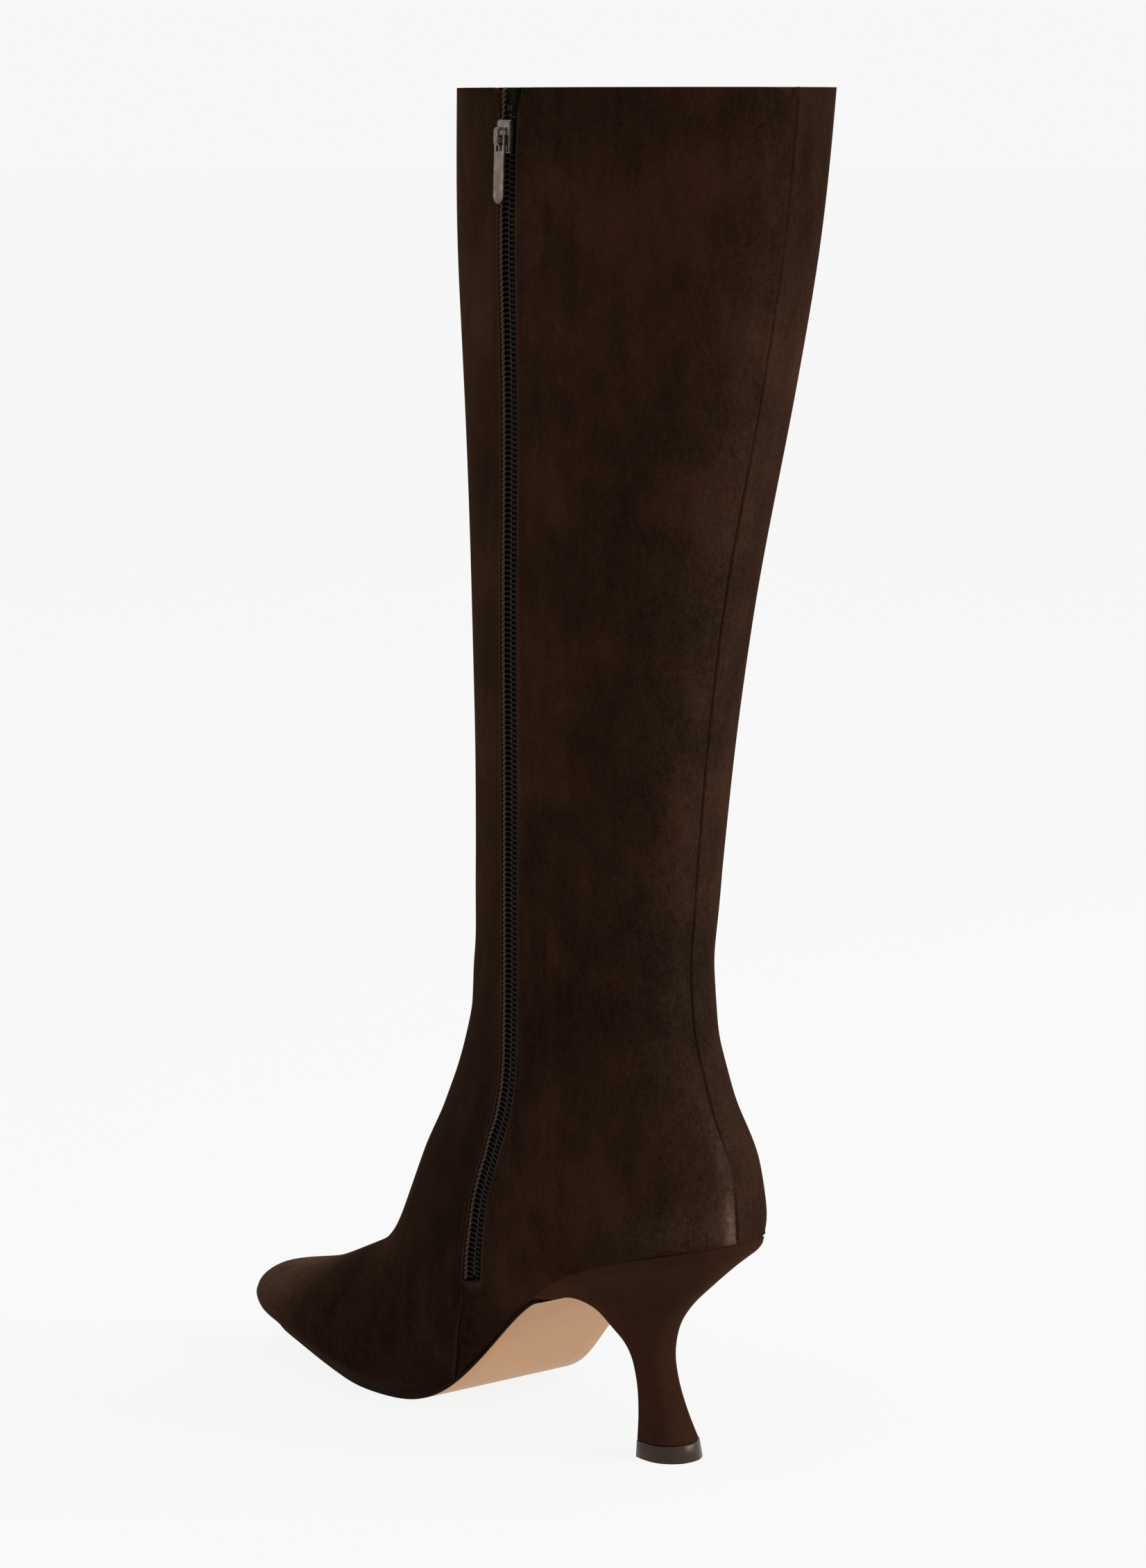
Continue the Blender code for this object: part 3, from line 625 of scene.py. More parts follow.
def make_suede(name, palette, warmth=0.0, blush=0.0):
    """Brushed suede: deep and warm clouds, strokes of the brush, nap and seams, lighter where brushed up,
    with painted shade in the seams, the stitch trough and on the foot, and painted highlights on folded
    edges, the lap's lip, the back, the shin and the heel's rim.
    """
    finish = Finish(name, IOR=1.0, Sheen_Weight=0.05, Sheen_Roughness=0.35, Sheen_Tint=(0.80, 0.46, 0.30))
    drift = finish.noise(9, 1)
    patch = finish.noise(42, 3, 0.55, stretch=(1, 1, 0.7))
    blot = finish.noise(120, 3, 0.6, stretch=(1, 1, 0.6))
    stroke = finish.noise(210, 2, 0.6, stretch=(1, 1, 0.18), turn=(0.25, 0.1, 0))
    fleck = finish.noise(700, 2, 0.6, stretch=(1, 1, 0.6))
    nap = finish.noise(2300, 2, 0.75, stretch=(1, 1, 0.5))
    tone = 0.36 + warmth + (drift - 0.5) * 1.2 + (patch - 0.5) * 0.8 + (blot - 0.5) * 0.55
    tone = tone + (stroke - 0.5) * 0.5 + (fleck - 0.5) * 0.65 + (nap - 0.5) * 1.1

    beside = FOLD_REACH - finish.mask("fold")
    # Lighter just outside the slot's folded edge: partly brushed-up nap, partly a painted highlight.
    brushed_lit_edge = 1 - beside.between(0.5, 1.5)
    # Painted shade: darker in the trough where the stitches beside the slot sink in.
    trough = beside.between(2.5, 3.1) * (1 - beside.between(3.3, 3.9))
    lap = finish.mask("lap")
    after = lap.between(LAP_LEVEL - 0.3, LAP_LEVEL + 0.2)
    overlap = after * (1 - lap.between(LAP_LEVEL + 1.5, LAP_LEVEL + 11))
    # Painted highlight on the raised lip at the side seam's lap.
    lip = overlap * (1 - lap.between(LAP_LEVEL + 0.4, LAP_LEVEL + 1.2))
    before = 1 - lap.between(LAP_LEVEL - 0.2, LAP_LEVEL + 0.4)
    # Painted shade along the joint just behind the lap's lip.
    joint = lap.between(LAP_LEVEL - 0.8, LAP_LEVEL - 0.2) * before
    # Lighter on the slot's folded edge and the lap's lip (painted highlights, the edge partly brushed nap),
    # darker in the stitch trough and on the foot's deep mask (painted shade).
    tone = tone + brushed_lit_edge * 0.5 - trough * 0.2 + lip * 0.45 - finish.mask("deep") * 0.34

    colour = finish.mix(tone.clamped(), palette.suede_deep, palette.suede_warm)
    red = blush + finish.noise(26, 2, 0.5, turn=(0.6, 0.2, 0.4)).between(0.48, 0.72) * 0.7
    colour = finish.mix((red * (0.3 + tone.clamped() * 0.7)).clamped(), colour, palette.suede_red)
    uneven = 0.75 + (blot - 0.5) * 0.7 + (fleck - 0.5) * 1.2 + (nap - 0.5) * 2.0
    # Lighter where the nap is brushed up, and painted light on the back, the shin and the heel's rim.
    colour = finish.mix((finish.mask("rubbed") * uneven).clamped(), colour, palette.suede_rubbed_and_lit)
    # Painted shade: darker in the back seam's groove and along the joint under the lap's lip.
    sunk = (finish.mask("seam") * 0.85 + joint * 0.8).clamped()
    colour = finish.mix(sunk, colour, shaded(palette.suede_deep, 0.5))
    lint = (1 - finish.cells(150).between(0.022, 0.04)) * finish.noise(60, 1).between(0.60, 0.64)
    colour = finish.mix(lint * 0.3, colour, (0.22, 0.16, 0.12))
    finish.wear(Base_Color=colour, Roughness=0.88 + (fleck - 0.5) * 0.2)
    height = nap * 0.5 + fleck * 0.4 + blot * 0.4 + patch * 0.5
    height = height + overlap * 1.1 - trough * 0.5 - joint * 0.6 + brushed_lit_edge * 0.3
    finish.relief(height, depth=0.35 * MM, strength=0.7)
    return finish.material


def make_leather(name, colour, roughness, pores=900):
    """Smooth leather with fine pores, soft clouds and a few long scuffs."""
    finish = Finish(name, Specular_IOR_Level=0.16)
    cloud = finish.noise(28, 3, 0.55)
    pore = finish.cells(pores)
    scuff = finish.noise(140, 2, 0.6, stretch=(1, 0.12, 0.4)).between(0.60, 0.74)
    tint = finish.mix((cloud - 0.5) * 1.4 + 0.5, shaded(colour, 0.82), colour)
    tint = finish.mix(pore * 0.16, tint, shaded(colour, 0.6))
    finish.wear(Base_Color=tint, Roughness=roughness + scuff * 0.12 + (cloud - 0.5) * 0.12)
    finish.relief(pore * 0.6 + scuff * 0.3, depth=0.05 * MM, strength=0.5)
    return finish.material


def make_polish(name, colour, roughness, gloss):
    """Stained and polished edge, with faint scratches."""
    finish = Finish(name, Specular_IOR_Level=gloss)
    cloud = finish.noise(120, 3, 0.6)
    scratch = finish.noise(600, 2, 0.6, stretch=(1, 1, 0.1)).between(0.62, 0.72)
    tint = finish.mix((cloud - 0.5) * 1.6 + 0.5, shaded(colour, 0.75), shaded(colour, 1.35))
    finish.wear(Base_Color=tint, Roughness=roughness + scratch * 0.12 + (cloud - 0.5) * 0.15)
    finish.relief(cloud * 0.5 + scratch * 0.2, depth=0.05 * MM, strength=0.4)
    return finish.material


def make_nylon(name, colour):
    """Nylon of the coil, with fine drawn lines."""
    finish = Finish(name, IOR=1.12)
    cloud = finish.noise(900, 2, 0.6)
    tint = finish.mix(cloud, shaded(colour, 0.7), shaded(colour, 1.5))
    finish.wear(Base_Color=tint, Roughness=0.32 + (cloud - 0.5) * 0.2)
    finish.relief(cloud, depth=0.03 * MM, strength=0.5)
    return finish.material


def make_weave(name, colour):
    """Woven tape: warp and weft that pass over each other."""
    finish = Finish(name, IOR=1.0)
    along = finish.add("ShaderNodeSeparateXYZ", {}, {0: finish.space}, "Y")
    height = finish.add("ShaderNodeSeparateXYZ", {}, {0: finish.space}, "Z")
    turns = math.tau / (0.55 * MM)
    over = 0.5 + (along * turns).sine() * (height * turns).sine() * 0.5
    tint = finish.mix(over, shaded(colour, 0.55), shaded(colour, 1.5))
    finish.wear(Base_Color=tint, Roughness=0.85 + (over - 0.5) * 0.1)
    finish.relief(over, depth=0.08 * MM, strength=0.6)
    return finish.material


def make_thread(name, colour):
    """Twisted sewing thread."""
    finish = Finish(name, IOR=1.1)
    twist = finish.noise(1800, 2, 0.6, turn=(0.5, 0.5, 0.5), stretch=(1, 1, 0.35))
    tint = finish.mix(twist, shaded(colour, 0.6), shaded(colour, 1.4))
    finish.wear(Base_Color=tint, Roughness=0.6 + (twist - 0.5) * 0.2)
    finish.relief(twist, depth=0.06 * MM, strength=0.5)
    return finish.material


def make_metal(name, colour):
    """Dark plated zip metal, brushed and a little worn."""
    finish = Finish(name, Metallic=1.0)
    cloud = finish.noise(260, 3, 0.6)
    brush = finish.noise(1400, 2, 0.6, stretch=(1, 1, 0.06))
    tint = finish.mix(cloud.between(0.4, 0.75), colour, shaded(colour, 1.9))
    finish.wear(Base_Color=tint, Roughness=0.26 + brush * 0.14 + (cloud - 0.5) * 0.12)
    finish.relief(brush, depth=0.02 * MM, strength=0.4)
    return finish.material


# ---- lines read from the solids

def zip_rungs():
    """Middle and way out of the coil's flat top at each band of the zip's tape, from the top down."""
    tape = merged_copy("zip_tape", "rung_form")
    points = points_of(tape)
    shortest = 2.2 * MM     # a band's flat top is between these two wide
    longest = 3.4 * MM
    rungs = {}
    for face in tape.data.polygons:
        if face.normal.x < 0.5:
            continue
        for key in face.edge_keys:
            step = points[key[1]] - points[key[0]]
            length = np.linalg.norm(step)
            level = max(abs(step[0]), abs(step[2])) < 0.6 * length
            if shortest < length < longest and level:
                rungs.setdefault(key, []).append(np.array(face.normal))
    bpy.data.objects.remove(tape)
    found = []
    for (first, second), outs in rungs.items():
        out = np.mean(outs, axis=0)
        found.append((0.5 * (points[first] + points[second]), out / np.linalg.norm(out)))
    found.sort(key=lambda rung: -rung[0][2])
    return found


def zip_route():
    """The line down the middle of the coil's flat top, from the collar to the slot's foot."""
    rungs = zip_rungs()
    tops = [rungs[0]]
    for middle, out in rungs[1:]:
        last_middle = tops[-1][0]
        if middle[0] > last_middle[0] - 2 * MM:
            tops.append((middle, out))
    return Route([middle for middle, out in tops], [out for middle, out in tops])


def back_seam_line(piece, outer):
    """Vertices of the outer face from the collar's rear point down to the heel's rear corner."""
    mesh = piece.data
    on_outer = np.zeros(len(mesh.vertices), bool)
    neighbours = {}
    for face in mesh.polygons:
        if outer[face.index]:
            on_outer[list(face.vertices)] = True
            for first, second in face.edge_keys:
                neighbours.setdefault(first, set()).add(second)
                neighbours.setdefault(second, set()).add(first)
    points = points_of(piece)
    rim = np.flatnonzero(on_outer & (points[:, 2] > UPPER_BOX[1].z - 0.1 * MM))
    line = [rim[np.argmax(points[rim, 1])]]
    way = np.array((0, 0, -1.0))
    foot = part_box("heel_cover")[1].z
    straightest = 0.7   # the line ends where no edge runs on within about 45 degrees
    while True:
        here = points[line[-1]]
        steps = {}
        for other in neighbours[line[-1]]:
            step = points[other] - here
            steps[other] = step @ way / np.linalg.norm(step)
        best = max(steps, key=steps.get)
        if steps[best] < straightest or points[best][2] < foot:
            return line
        way = (points[best] - here) / np.linalg.norm(points[best] - here)
        line.append(best)


# ---- operators

def colours():
    """The colours set in the panel."""
    return bpy.context.scene.boot_colours


def sizes():
    """The sizes set in the panel."""
    return bpy.context.scene.boot_sizes


def finish_named(name, maker, *values, **options):
    """A finish by its name, made the first time it is asked for."""
    return bpy.data.materials.get(name) or maker(name, *values, **options)


class BOOT_OT_dress_upper(bpy.types.Operator):
    """Smooth the upper, sew its seams and give it suede outside and leather inside"""

    bl_idname = "boot.dress_upper"
    bl_label = "Dress upper"

    def execute(self, context):
        piece = merged_copy("upper", "boot_upper")
        mark_sharp_edges(piece)
        self.join_toe(piece)
        outer, inner = self.outer_and_inner(piece)
        self.round_toe(piece, inner)
        suede = finish_named("leg_suede", make_suede, colours())
        lining = finish_named("leg_lining", make_leather, colours().lining, roughness=0.5)
        turned = finish_named("turned_suede", make_suede, colours(), warmth=0.3)
        give_material(piece, [suede, lining, turned], np.where(outer, 0, np.where(inner, 1, 2)))
        crease_edges(piece, border_edges(piece))
        self.crease_slot_foot(piece)
        zip_line = zip_route()
        self.widen_slot(piece, zip_line)
        rear_edge, front_edge = self.slot_edges(piece, zip_line)
        back = self.split_back_seam(piece, outer)
        smooth_form(piece, levels=2, rounding=sizes().rim_round)
        self.draw_in_rear(piece)
        self.lap_sole(piece)

        where = vertices_wearing(piece, 0)
        points = points_of(piece)
        press_line(piece, back.spots, 0.42 * MM, sizes().seam_depth, lip=0.16 * MM, where=where)
        from_seam = distance_to_line(points, back.spots)[0]
        # The seam mask darkens the suede along the back seam: painted shade in its groove.
        set_mask(piece, "seam", np.exp(-(from_seam / (0.4 * MM)) ** 2) * where)
        self.crease_ankle(piece, where)
        self.rub_and_light(piece, points, from_seam)
        self.paint_foot_shade(piece, points)
        self.mark_zip(piece, points, where, zip_line, rear_edge, front_edge)
        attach(piece, BOOT)
        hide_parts("upper")
        return {"FINISHED"}

    def join_toe(self, piece):
        """Lets the faces beside the folds at the toe's end count as one surface."""
        points = points_of(piece)
        toe_end = -198 * MM
        welt_top = 12.4 * MM
        end = (points[:, 1] < toe_end) & (points[:, 2] > welt_top)
        edit_chosen(piece, "edges", edges_within(piece, end))
        bpy.ops.mesh.mark_seam(clear=True)
        close_edit()

    def outer_and_inner(self, piece):
        """The faces of the suede side and those of the lining; the rest are the turned edges."""
        centres, normals = face_table(piece)
        seed = int(np.argmin(centres[:, 0]))
        outer = faces_round(piece, seed)
        facing = normals @ normals[seed] < -0.8
        away = np.linalg.norm(centres - centres[seed], axis=1)
        inner = faces_round(piece, int(np.argmin(np.where(facing, away, 1.0))))
        if (outer & inner).any():
            raise RuntimeError("the upper's outer and inner faces aren't parted by sharp edges")
        return outer, inner

    def round_toe(self, piece, inner):
        """Draws the lining back from the toe's end, and rounds off the fold in the suede there."""
        points = points_of(piece)
        lining = np.zeros(len(points), bool)
        for face in piece.data.polygons:
            if inner[face.index]:
                lining[list(face.vertices)] = True
        lining_end = -201.5 * MM
        far = lining & (points[:, 1] < lining_end)
        points[far, 1] = lining_end + 0.15 * (points[far, 1] - lining_end)
        move_points(piece, points)

        fold = np.array((16, -210.5, 20)) * MM
        about = np.linalg.norm(points - fold, axis=1) < 7 * MM
        edit_chosen(piece, "vertices", ~lining & about)
        bpy.ops.mesh.vertices_smooth(factor=0.5, repeat=6)
        close_edit()

        points = points_of(piece)
        lengthening = 3.2 * MM
        points[:, 1] -= lengthening * ease(ramp(-points[:, 1] / MM, 190, 207) * ~lining)
        end = ~lining & (points[:, 1] < -207.5 * MM) & (points[:, 2] < 23 * MM)
        tip_across, tip_forward, tip_height = np.array((15.8, -211.4, 21)) * MM
        nose = tip_forward + 0.04 / MM * (points[:, 2] - tip_height) ** 2
        middle = np.exp(-((points[:, 0] - tip_across) / (5 * MM)) ** 2) * end
        points[:, 1] += (nose - points[:, 1]) * middle
        move_points(piece, points)

    def crease_slot_foot(self, piece):
        """Keeps the two lower corners of the zip's slot nearly square, and its foot level."""
        slot_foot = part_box("zip_tape")[0].z
        slot_middle = -65 * MM
        front_drop = 2.0 * MM
        rear_rise = 0.6 * MM
        points = points_of(piece)
        wanted = []
        for edge in piece.data.edges:
            first, second = points[list(edge.vertices)]
            step = first - second
            middle = 0.5 * (first + second)
            through_wall = np.linalg.norm(step) < 2.6 * MM and abs(step[0]) > 1.7 * MM
            at_foot = middle[0] > 28 * MM and abs(middle[2] - slot_foot) < 9 * MM
            wanted.append(through_wall and at_foot)
        crease_edges(piece, wanted, 0.75)
        for edge in piece.data.edges:
            if wanted[edge.index]:
                for row in edge.vertices:
                    points[row, 2] += -front_drop if points[row, 1] < slot_middle else rear_rise
        move_points(piece, points)

    def widen_slot(self, piece, zip_line):
        """Draws the suede back a little on both sides of the zip."""
        points = points_of(piece)
        run, across, away = zip_line.measure(points)
        half = sizes().slot_half_width
        share = np.clip(across / half, -1, 1) * ramp(np.abs(across) - half, 10 * MM, 0)
        for row in np.flatnonzero((away < 16 * MM) & (share != 0)):
            side = zip_line.place(run[row]).col[0].to_3d()
            points[row] += np.array(side) * share[row] * sizes().slot_widening
        move_points(piece, points)

    def slot_edges(self, piece, zip_line):
        """The slot's rear and front edges in the outer face: rows of distance along, across and place."""
        slots = {}
        for face in piece.data.polygons:
            for vertex in face.vertices:
                slots.setdefault(vertex, set()).add(face.material_index)
        border = [vertex for vertex, worn in slots.items() if {0, 2} <= worn]
        points = points_of(piece)[border]
        run, across, away = zip_line.measure(points)
        nearest = 2.5 * MM
        farthest = 6.2 * MM
        beside = (away < farthest) & (run < zip_line.length - 0.1 * MM)
        edges = []
        for side in (-1, 1):
            chosen = beside & (side * across > nearest)
            table = np.column_stack([run, across, points])[chosen]
            edges.append(table[np.argsort(table[:, 0])])
        return edges

    def split_back_seam(self, piece, outer):
        """Widens the line of edges down the back into a narrow band, and gives the line itself."""
        chain = back_seam_line(piece, outer)
        seam_points = points_of(piece)[chain]
        keys = set(zip(chain, chain[1:])) | set(zip(chain[1:], chain))
        edit_chosen(piece, "edges", [tuple(edge.vertices) in keys for edge in piece.data.edges])
        bpy.ops.mesh.bevel(offset=1.5 * MM, segments=2, profile=0.5, affect="EDGES", material=0)
        close_edit()
        return Route(seam_points, np.tile((0, 1.0, 0), (len(seam_points), 1)))

    def draw_in_rear(self, piece):
        """Draws the upper in and down at its two lower corners behind the heel, to the cover's rim."""
        points = points_of(piece)
        corner = np.array((17.5, 28, 79.5)) * MM
        spread = np.array((9, 9, 5)) * MM
        heel_middle = np.array((0, 10)) * MM
        inwards = 1.0 * MM
        down = 1.3 * MM
        share = near(np.abs(points), corner, spread) * (points[:, 1] > 0)
        way = heel_middle - points[:, :2]
        way /= np.linalg.norm(way, axis=1)[:, None]
        points[:, :2] += inwards * share[:, None] * way
        points[:, 2] -= down * share
        move_points(piece, points)

    def lap_sole(self, piece):
        """Draws the suede's lower edge down over the top of the sole's edge."""
        sole = frame["nodes"]["outsole"]
        lap = 1.3 * MM
        points = points_of(piece)
        for row in np.flatnonzero(points[:, 2] < 18 * MM):
            place = nearest_place(sole, points[row])[0]
            beside = ramp((Vector(points[row]) - place).length / MM, 3.0, 0.6)
            ahead = ramp(-points[row, 1] / MM, 62, 88)
            points[row, 2] -= lap * ahead * ease(beside)
        move_points(piece, points)

    def crease_ankle(self, piece, where):
        """Soft troughs where the leg bends over the instep."""
        deep = sizes().crease_depth
        creases = (   # points along each, its width in millimetres, and its share of the depth
            (((-30, -55, 148), (-20, -92, 152), (0, -99, 150), (20, -90, 146), (28, -66, 140)), 7, 0.9),
            (((-31, -40, 172), (-18, -84, 176), (4, -93, 172), (22, -80, 168)), 9, 0.6),
            (((-29, -10, 140), (-18, 12, 146), (0, 17, 146), (16, 12, 142)), 8, 0.7),
            (((-30, -20, 165), (-16, 8, 172), (0, 11.5, 172), (15, 8, 170)), 9, 0.5),
        )
        for line, width, share in creases:
            depth = deep * share
            press_line(piece, np.array(line) * MM, width * MM, depth, 0.3 * depth, where, fade=0.3)

    def rub_and_light(self, piece, points, from_seam):
        """Where the suede is lighter: brushed-up nap beside the back seam low on the heel and at the toe,
        and painted light round the heel's rim, down the back and on the shin.
        """
        inside = points[:, 0] > 0
        height = points[:, 2] / MM
        strip = np.exp(-((from_seam - 2.2 * MM) / (2.3 * MM)) ** 2) * inside
        low = 0.8 * np.exp(-((height - 85) / 11) ** 2) + 0.16 * np.exp(-((height - 108) / 14) ** 2)
        # Painted light: lighter round the heel's rim, down the back and on the shin, where light falls and
        # grazes.
        heel_rim = 0.12 * near(points, np.array((16, 24, 84)) * MM, np.array((22, 24, 9)) * MM) * inside
        back = 0.09 * np.exp(-(from_seam / (22 * MM)) ** 2) * (1 - 0.7 * ramp(height, 340, 410))
        shin = 0.08 * ramp(-points[:, 1] / MM, 88, 108) * (height > 170)
        toe = 0.5 * near(points, np.array((14, -196, 28)) * MM, np.array((20, 24, 18)) * MM)
        set_mask(piece, "rubbed", strip * low + heel_rim + back + shin + toe)

    def paint_foot_shade(self, piece, points):
        """Painted shade: darker on the foot except its toe, and on the inside of the instep."""
        foot = ramp(-points[:, 1] / MM, 52, 72) * ramp(points[:, 2] / MM, 155, 125)
        toe = near(points, np.array((10, -200, 28)) * MM, 26 * MM)
        instep = near(points, np.array((28, -97, 82)) * MM, np.array((26, 18, 30)) * MM)
        set_mask(piece, "deep", foot * (1 - np.minimum(1.4 * toe, 1)) + instep)

    def mark_zip(self, piece, points, where, zip_line, rear_edge, front_edge):
        """How near the slot's edge is, and the seam that runs on from it to the sole."""
        run, across, away = zip_line.measure(points)
        rear = -np.interp(run, rear_edge[:, 0], rear_edge[:, 1])
        front = np.interp(run, front_edge[:, 0], front_edge[:, 1])
        from_line = np.where(run < zip_line.length - 0.1 * MM, np.abs(across), away)
        outside = (from_line - np.where(across < 0, rear, front)) / MM
        fold = np.clip(FOLD_REACH - outside, 0, FOLD_REACH)
        set_mask(piece, "fold", np.where(where & (away < 20 * MM), fold, 0))

        down = np.array(SIDE_SEAM) * MM
        outs = zip_line.value(zip_line.ways, front_edge[:, 0])
        turn = np.linspace(0, 1, len(down))[:, None] * (-0.2, -0.5, -0.5)
        line = np.concatenate([front_edge[:, 2:], down])
        seam = Route(line, np.concatenate([outs, np.tile(outs[-1:], (len(down), 1)) + turn]))
        across, away = seam.measure(points)[1:]
        lap = LAP_LEVEL + np.clip(across / MM, -LAP_REACH, LAP_REACH)
        set_mask(piece, "lap", np.where(where & (away < 45 * MM), lap, LAP_LEVEL - LAP_REACH))


class BOOT_OT_cover_heel(bpy.types.Operator):
    """Smooth the heel and cover it with suede"""

    bl_idname = "boot.cover_heel"
    bl_label = "Cover heel"

    def execute(self, context):
        piece = merged_copy("heel_cover", "heel_suede")
        crease_sharp_edges(piece, angle=math.radians(72))
        points = points_of(piece)
        front = points[:, 1] < -41 * MM
        lower_edge = front & (points[:, 2] < 48.5 * MM)
        rise = 0.9 * MM
        points[lower_edge, 2] += rise
        move_points(piece, points)
        crease_edges(piece, edges_within(piece, front))
        smooth_form(piece, levels=2, rounding=sizes().rim_round)
        self.meet_upper(piece)
        # The heel's suede is lighter and redder than the leg's: painted light, for the light on the heel's
        # rear faces.
        wrap = finish_named("heel_wrap_suede", make_suede, colours(), warmth=0.46, blush=0.36)
        give_material(piece, [wrap])
        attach(piece, BOOT)
        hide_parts("heel_cover")
        return {"FINISHED"}

    def meet_upper(self, piece):
        """Draws the cover's rim and top in to the upper, and leaves a fine line at the back alone."""
        upper = bpy.data.objects["boot_upper"]
        points = points_of(piece)
        for row, point in enumerate(points):
            away = Vector(point) - nearest_place(upper, point)[0]
            rearward = point[1] / MM
            share = ramp(away.length / MM, 1.2, 0.6) * (1 - 0.2 * ramp(rearward, 12, 22))
            gap = 0.12 * MM * ramp(rearward, -6, 14)
            points[row] = Vector(point) - away * share * (1 - gap / max(away.length, gap, 1e-9))
        move_points(piece, points)


class BOOT_OT_make_tip(bpy.types.Operator):
    """Round the heel tip's edges and polish it"""

    bl_idname = "boot.make_tip"
    bl_label = "Make heel tip"

    def execute(self, context):
        piece = merged_copy("heel_tip", "heel_tip_lift")
        smooth_form(piece, levels=0, rounding=0.4 * MM)
        polish = finish_named("polished_tip", make_polish, colours().tip, roughness=0.22, gloss=0.2)
        give_material(piece, [polish])
        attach(piece, BOOT)
        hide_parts("heel_tip")
        return {"FINISHED"}


class BOOT_OT_make_sole(bpy.types.Operator):
    """Smooth the sole, stain its edge and give its underside tan leather"""

    bl_idname = "boot.make_sole"
    bl_label = "Make sole"

    def execute(self, context):
        piece = merged_copy("outsole", "leather_sole")
        points = points_of(piece)
        outward = normals_of(piece) * (1, 1, 0)
        outward /= np.linalg.norm(outward, axis=1)[:, None]
        forefoot = points[:, 1] < -60 * MM
        set_in = 1.2 * MM
        points[forefoot] -= outward[forefoot] * set_in
        move_points(piece, points)
        centres, normals = face_table(piece)
        rear_end = (centres[:, 1] > -45 * MM) & (normals[:, 1] > 0.5)
        edit_chosen(piece, "polygons", rear_end)
        step = Vector((0, 3.4, 0.9)) * MM
        bpy.ops.mesh.extrude_region_move(TRANSFORM_OT_translate={"value": step})
        bpy.ops.transform.resize(value=(0.95, 1, 1))
        close_edit()
        mark_sharp_edges(piece)
        centres, normals = face_table(piece)
        under = faces_round(piece, int(np.argmin(centres[:, 2])))
        leather = finish_named("tan_sole_leather", make_leather, colours().sole, roughness=0.42)
        stain = finish_named("stained_edge", make_polish, colours().edge, roughness=0.6, gloss=0.03)
        rim = finish_named("burnished_rim", make_polish, colours().burnish, roughness=0.55, gloss=0.06)
        give_material(piece, [leather, stain, rim], np.where(under, 0, 1))
        crease_sharp_edges(piece)
        add_modifier(piece, "SUBSURF", levels=3, render_levels=3)
        self.round_under_edge(piece)
        smooth_form(piece, levels=0, rounding=0.35 * MM)
        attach(piece, BOOT)
        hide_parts("outsole")
        return {"FINISHED"}

    def round_under_edge(self, piece):
        """Rounds the leather over the sole's lower edge, so that the stain starts above it."""
        edit_chosen(piece, "edges", border_edges(piece))
        bpy.ops.mesh.bevel(offset=0.6 * MM, segments=3, affect="EDGES", material=2, clamp_overlap=True)
        close_edit()


class BOOT_OT_lay_insole(bpy.types.Operator):
    """Smooth the insole and give it leather"""

    bl_idname = "boot.lay_insole"
    bl_label = "Lay insole"

    def execute(self, context):
        piece = merged_copy("insole", "insole_sock")
        crease_sharp_edges(piece)
        smooth_form(piece, levels=2, rounding=0.5 * MM)
        sock = finish_named("sock_leather", make_leather, colours().lining, roughness=0.48, pores=700)
        give_material(piece, [sock])
        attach(piece, BOOT)
        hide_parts("insole")
        return {"FINISHED"}


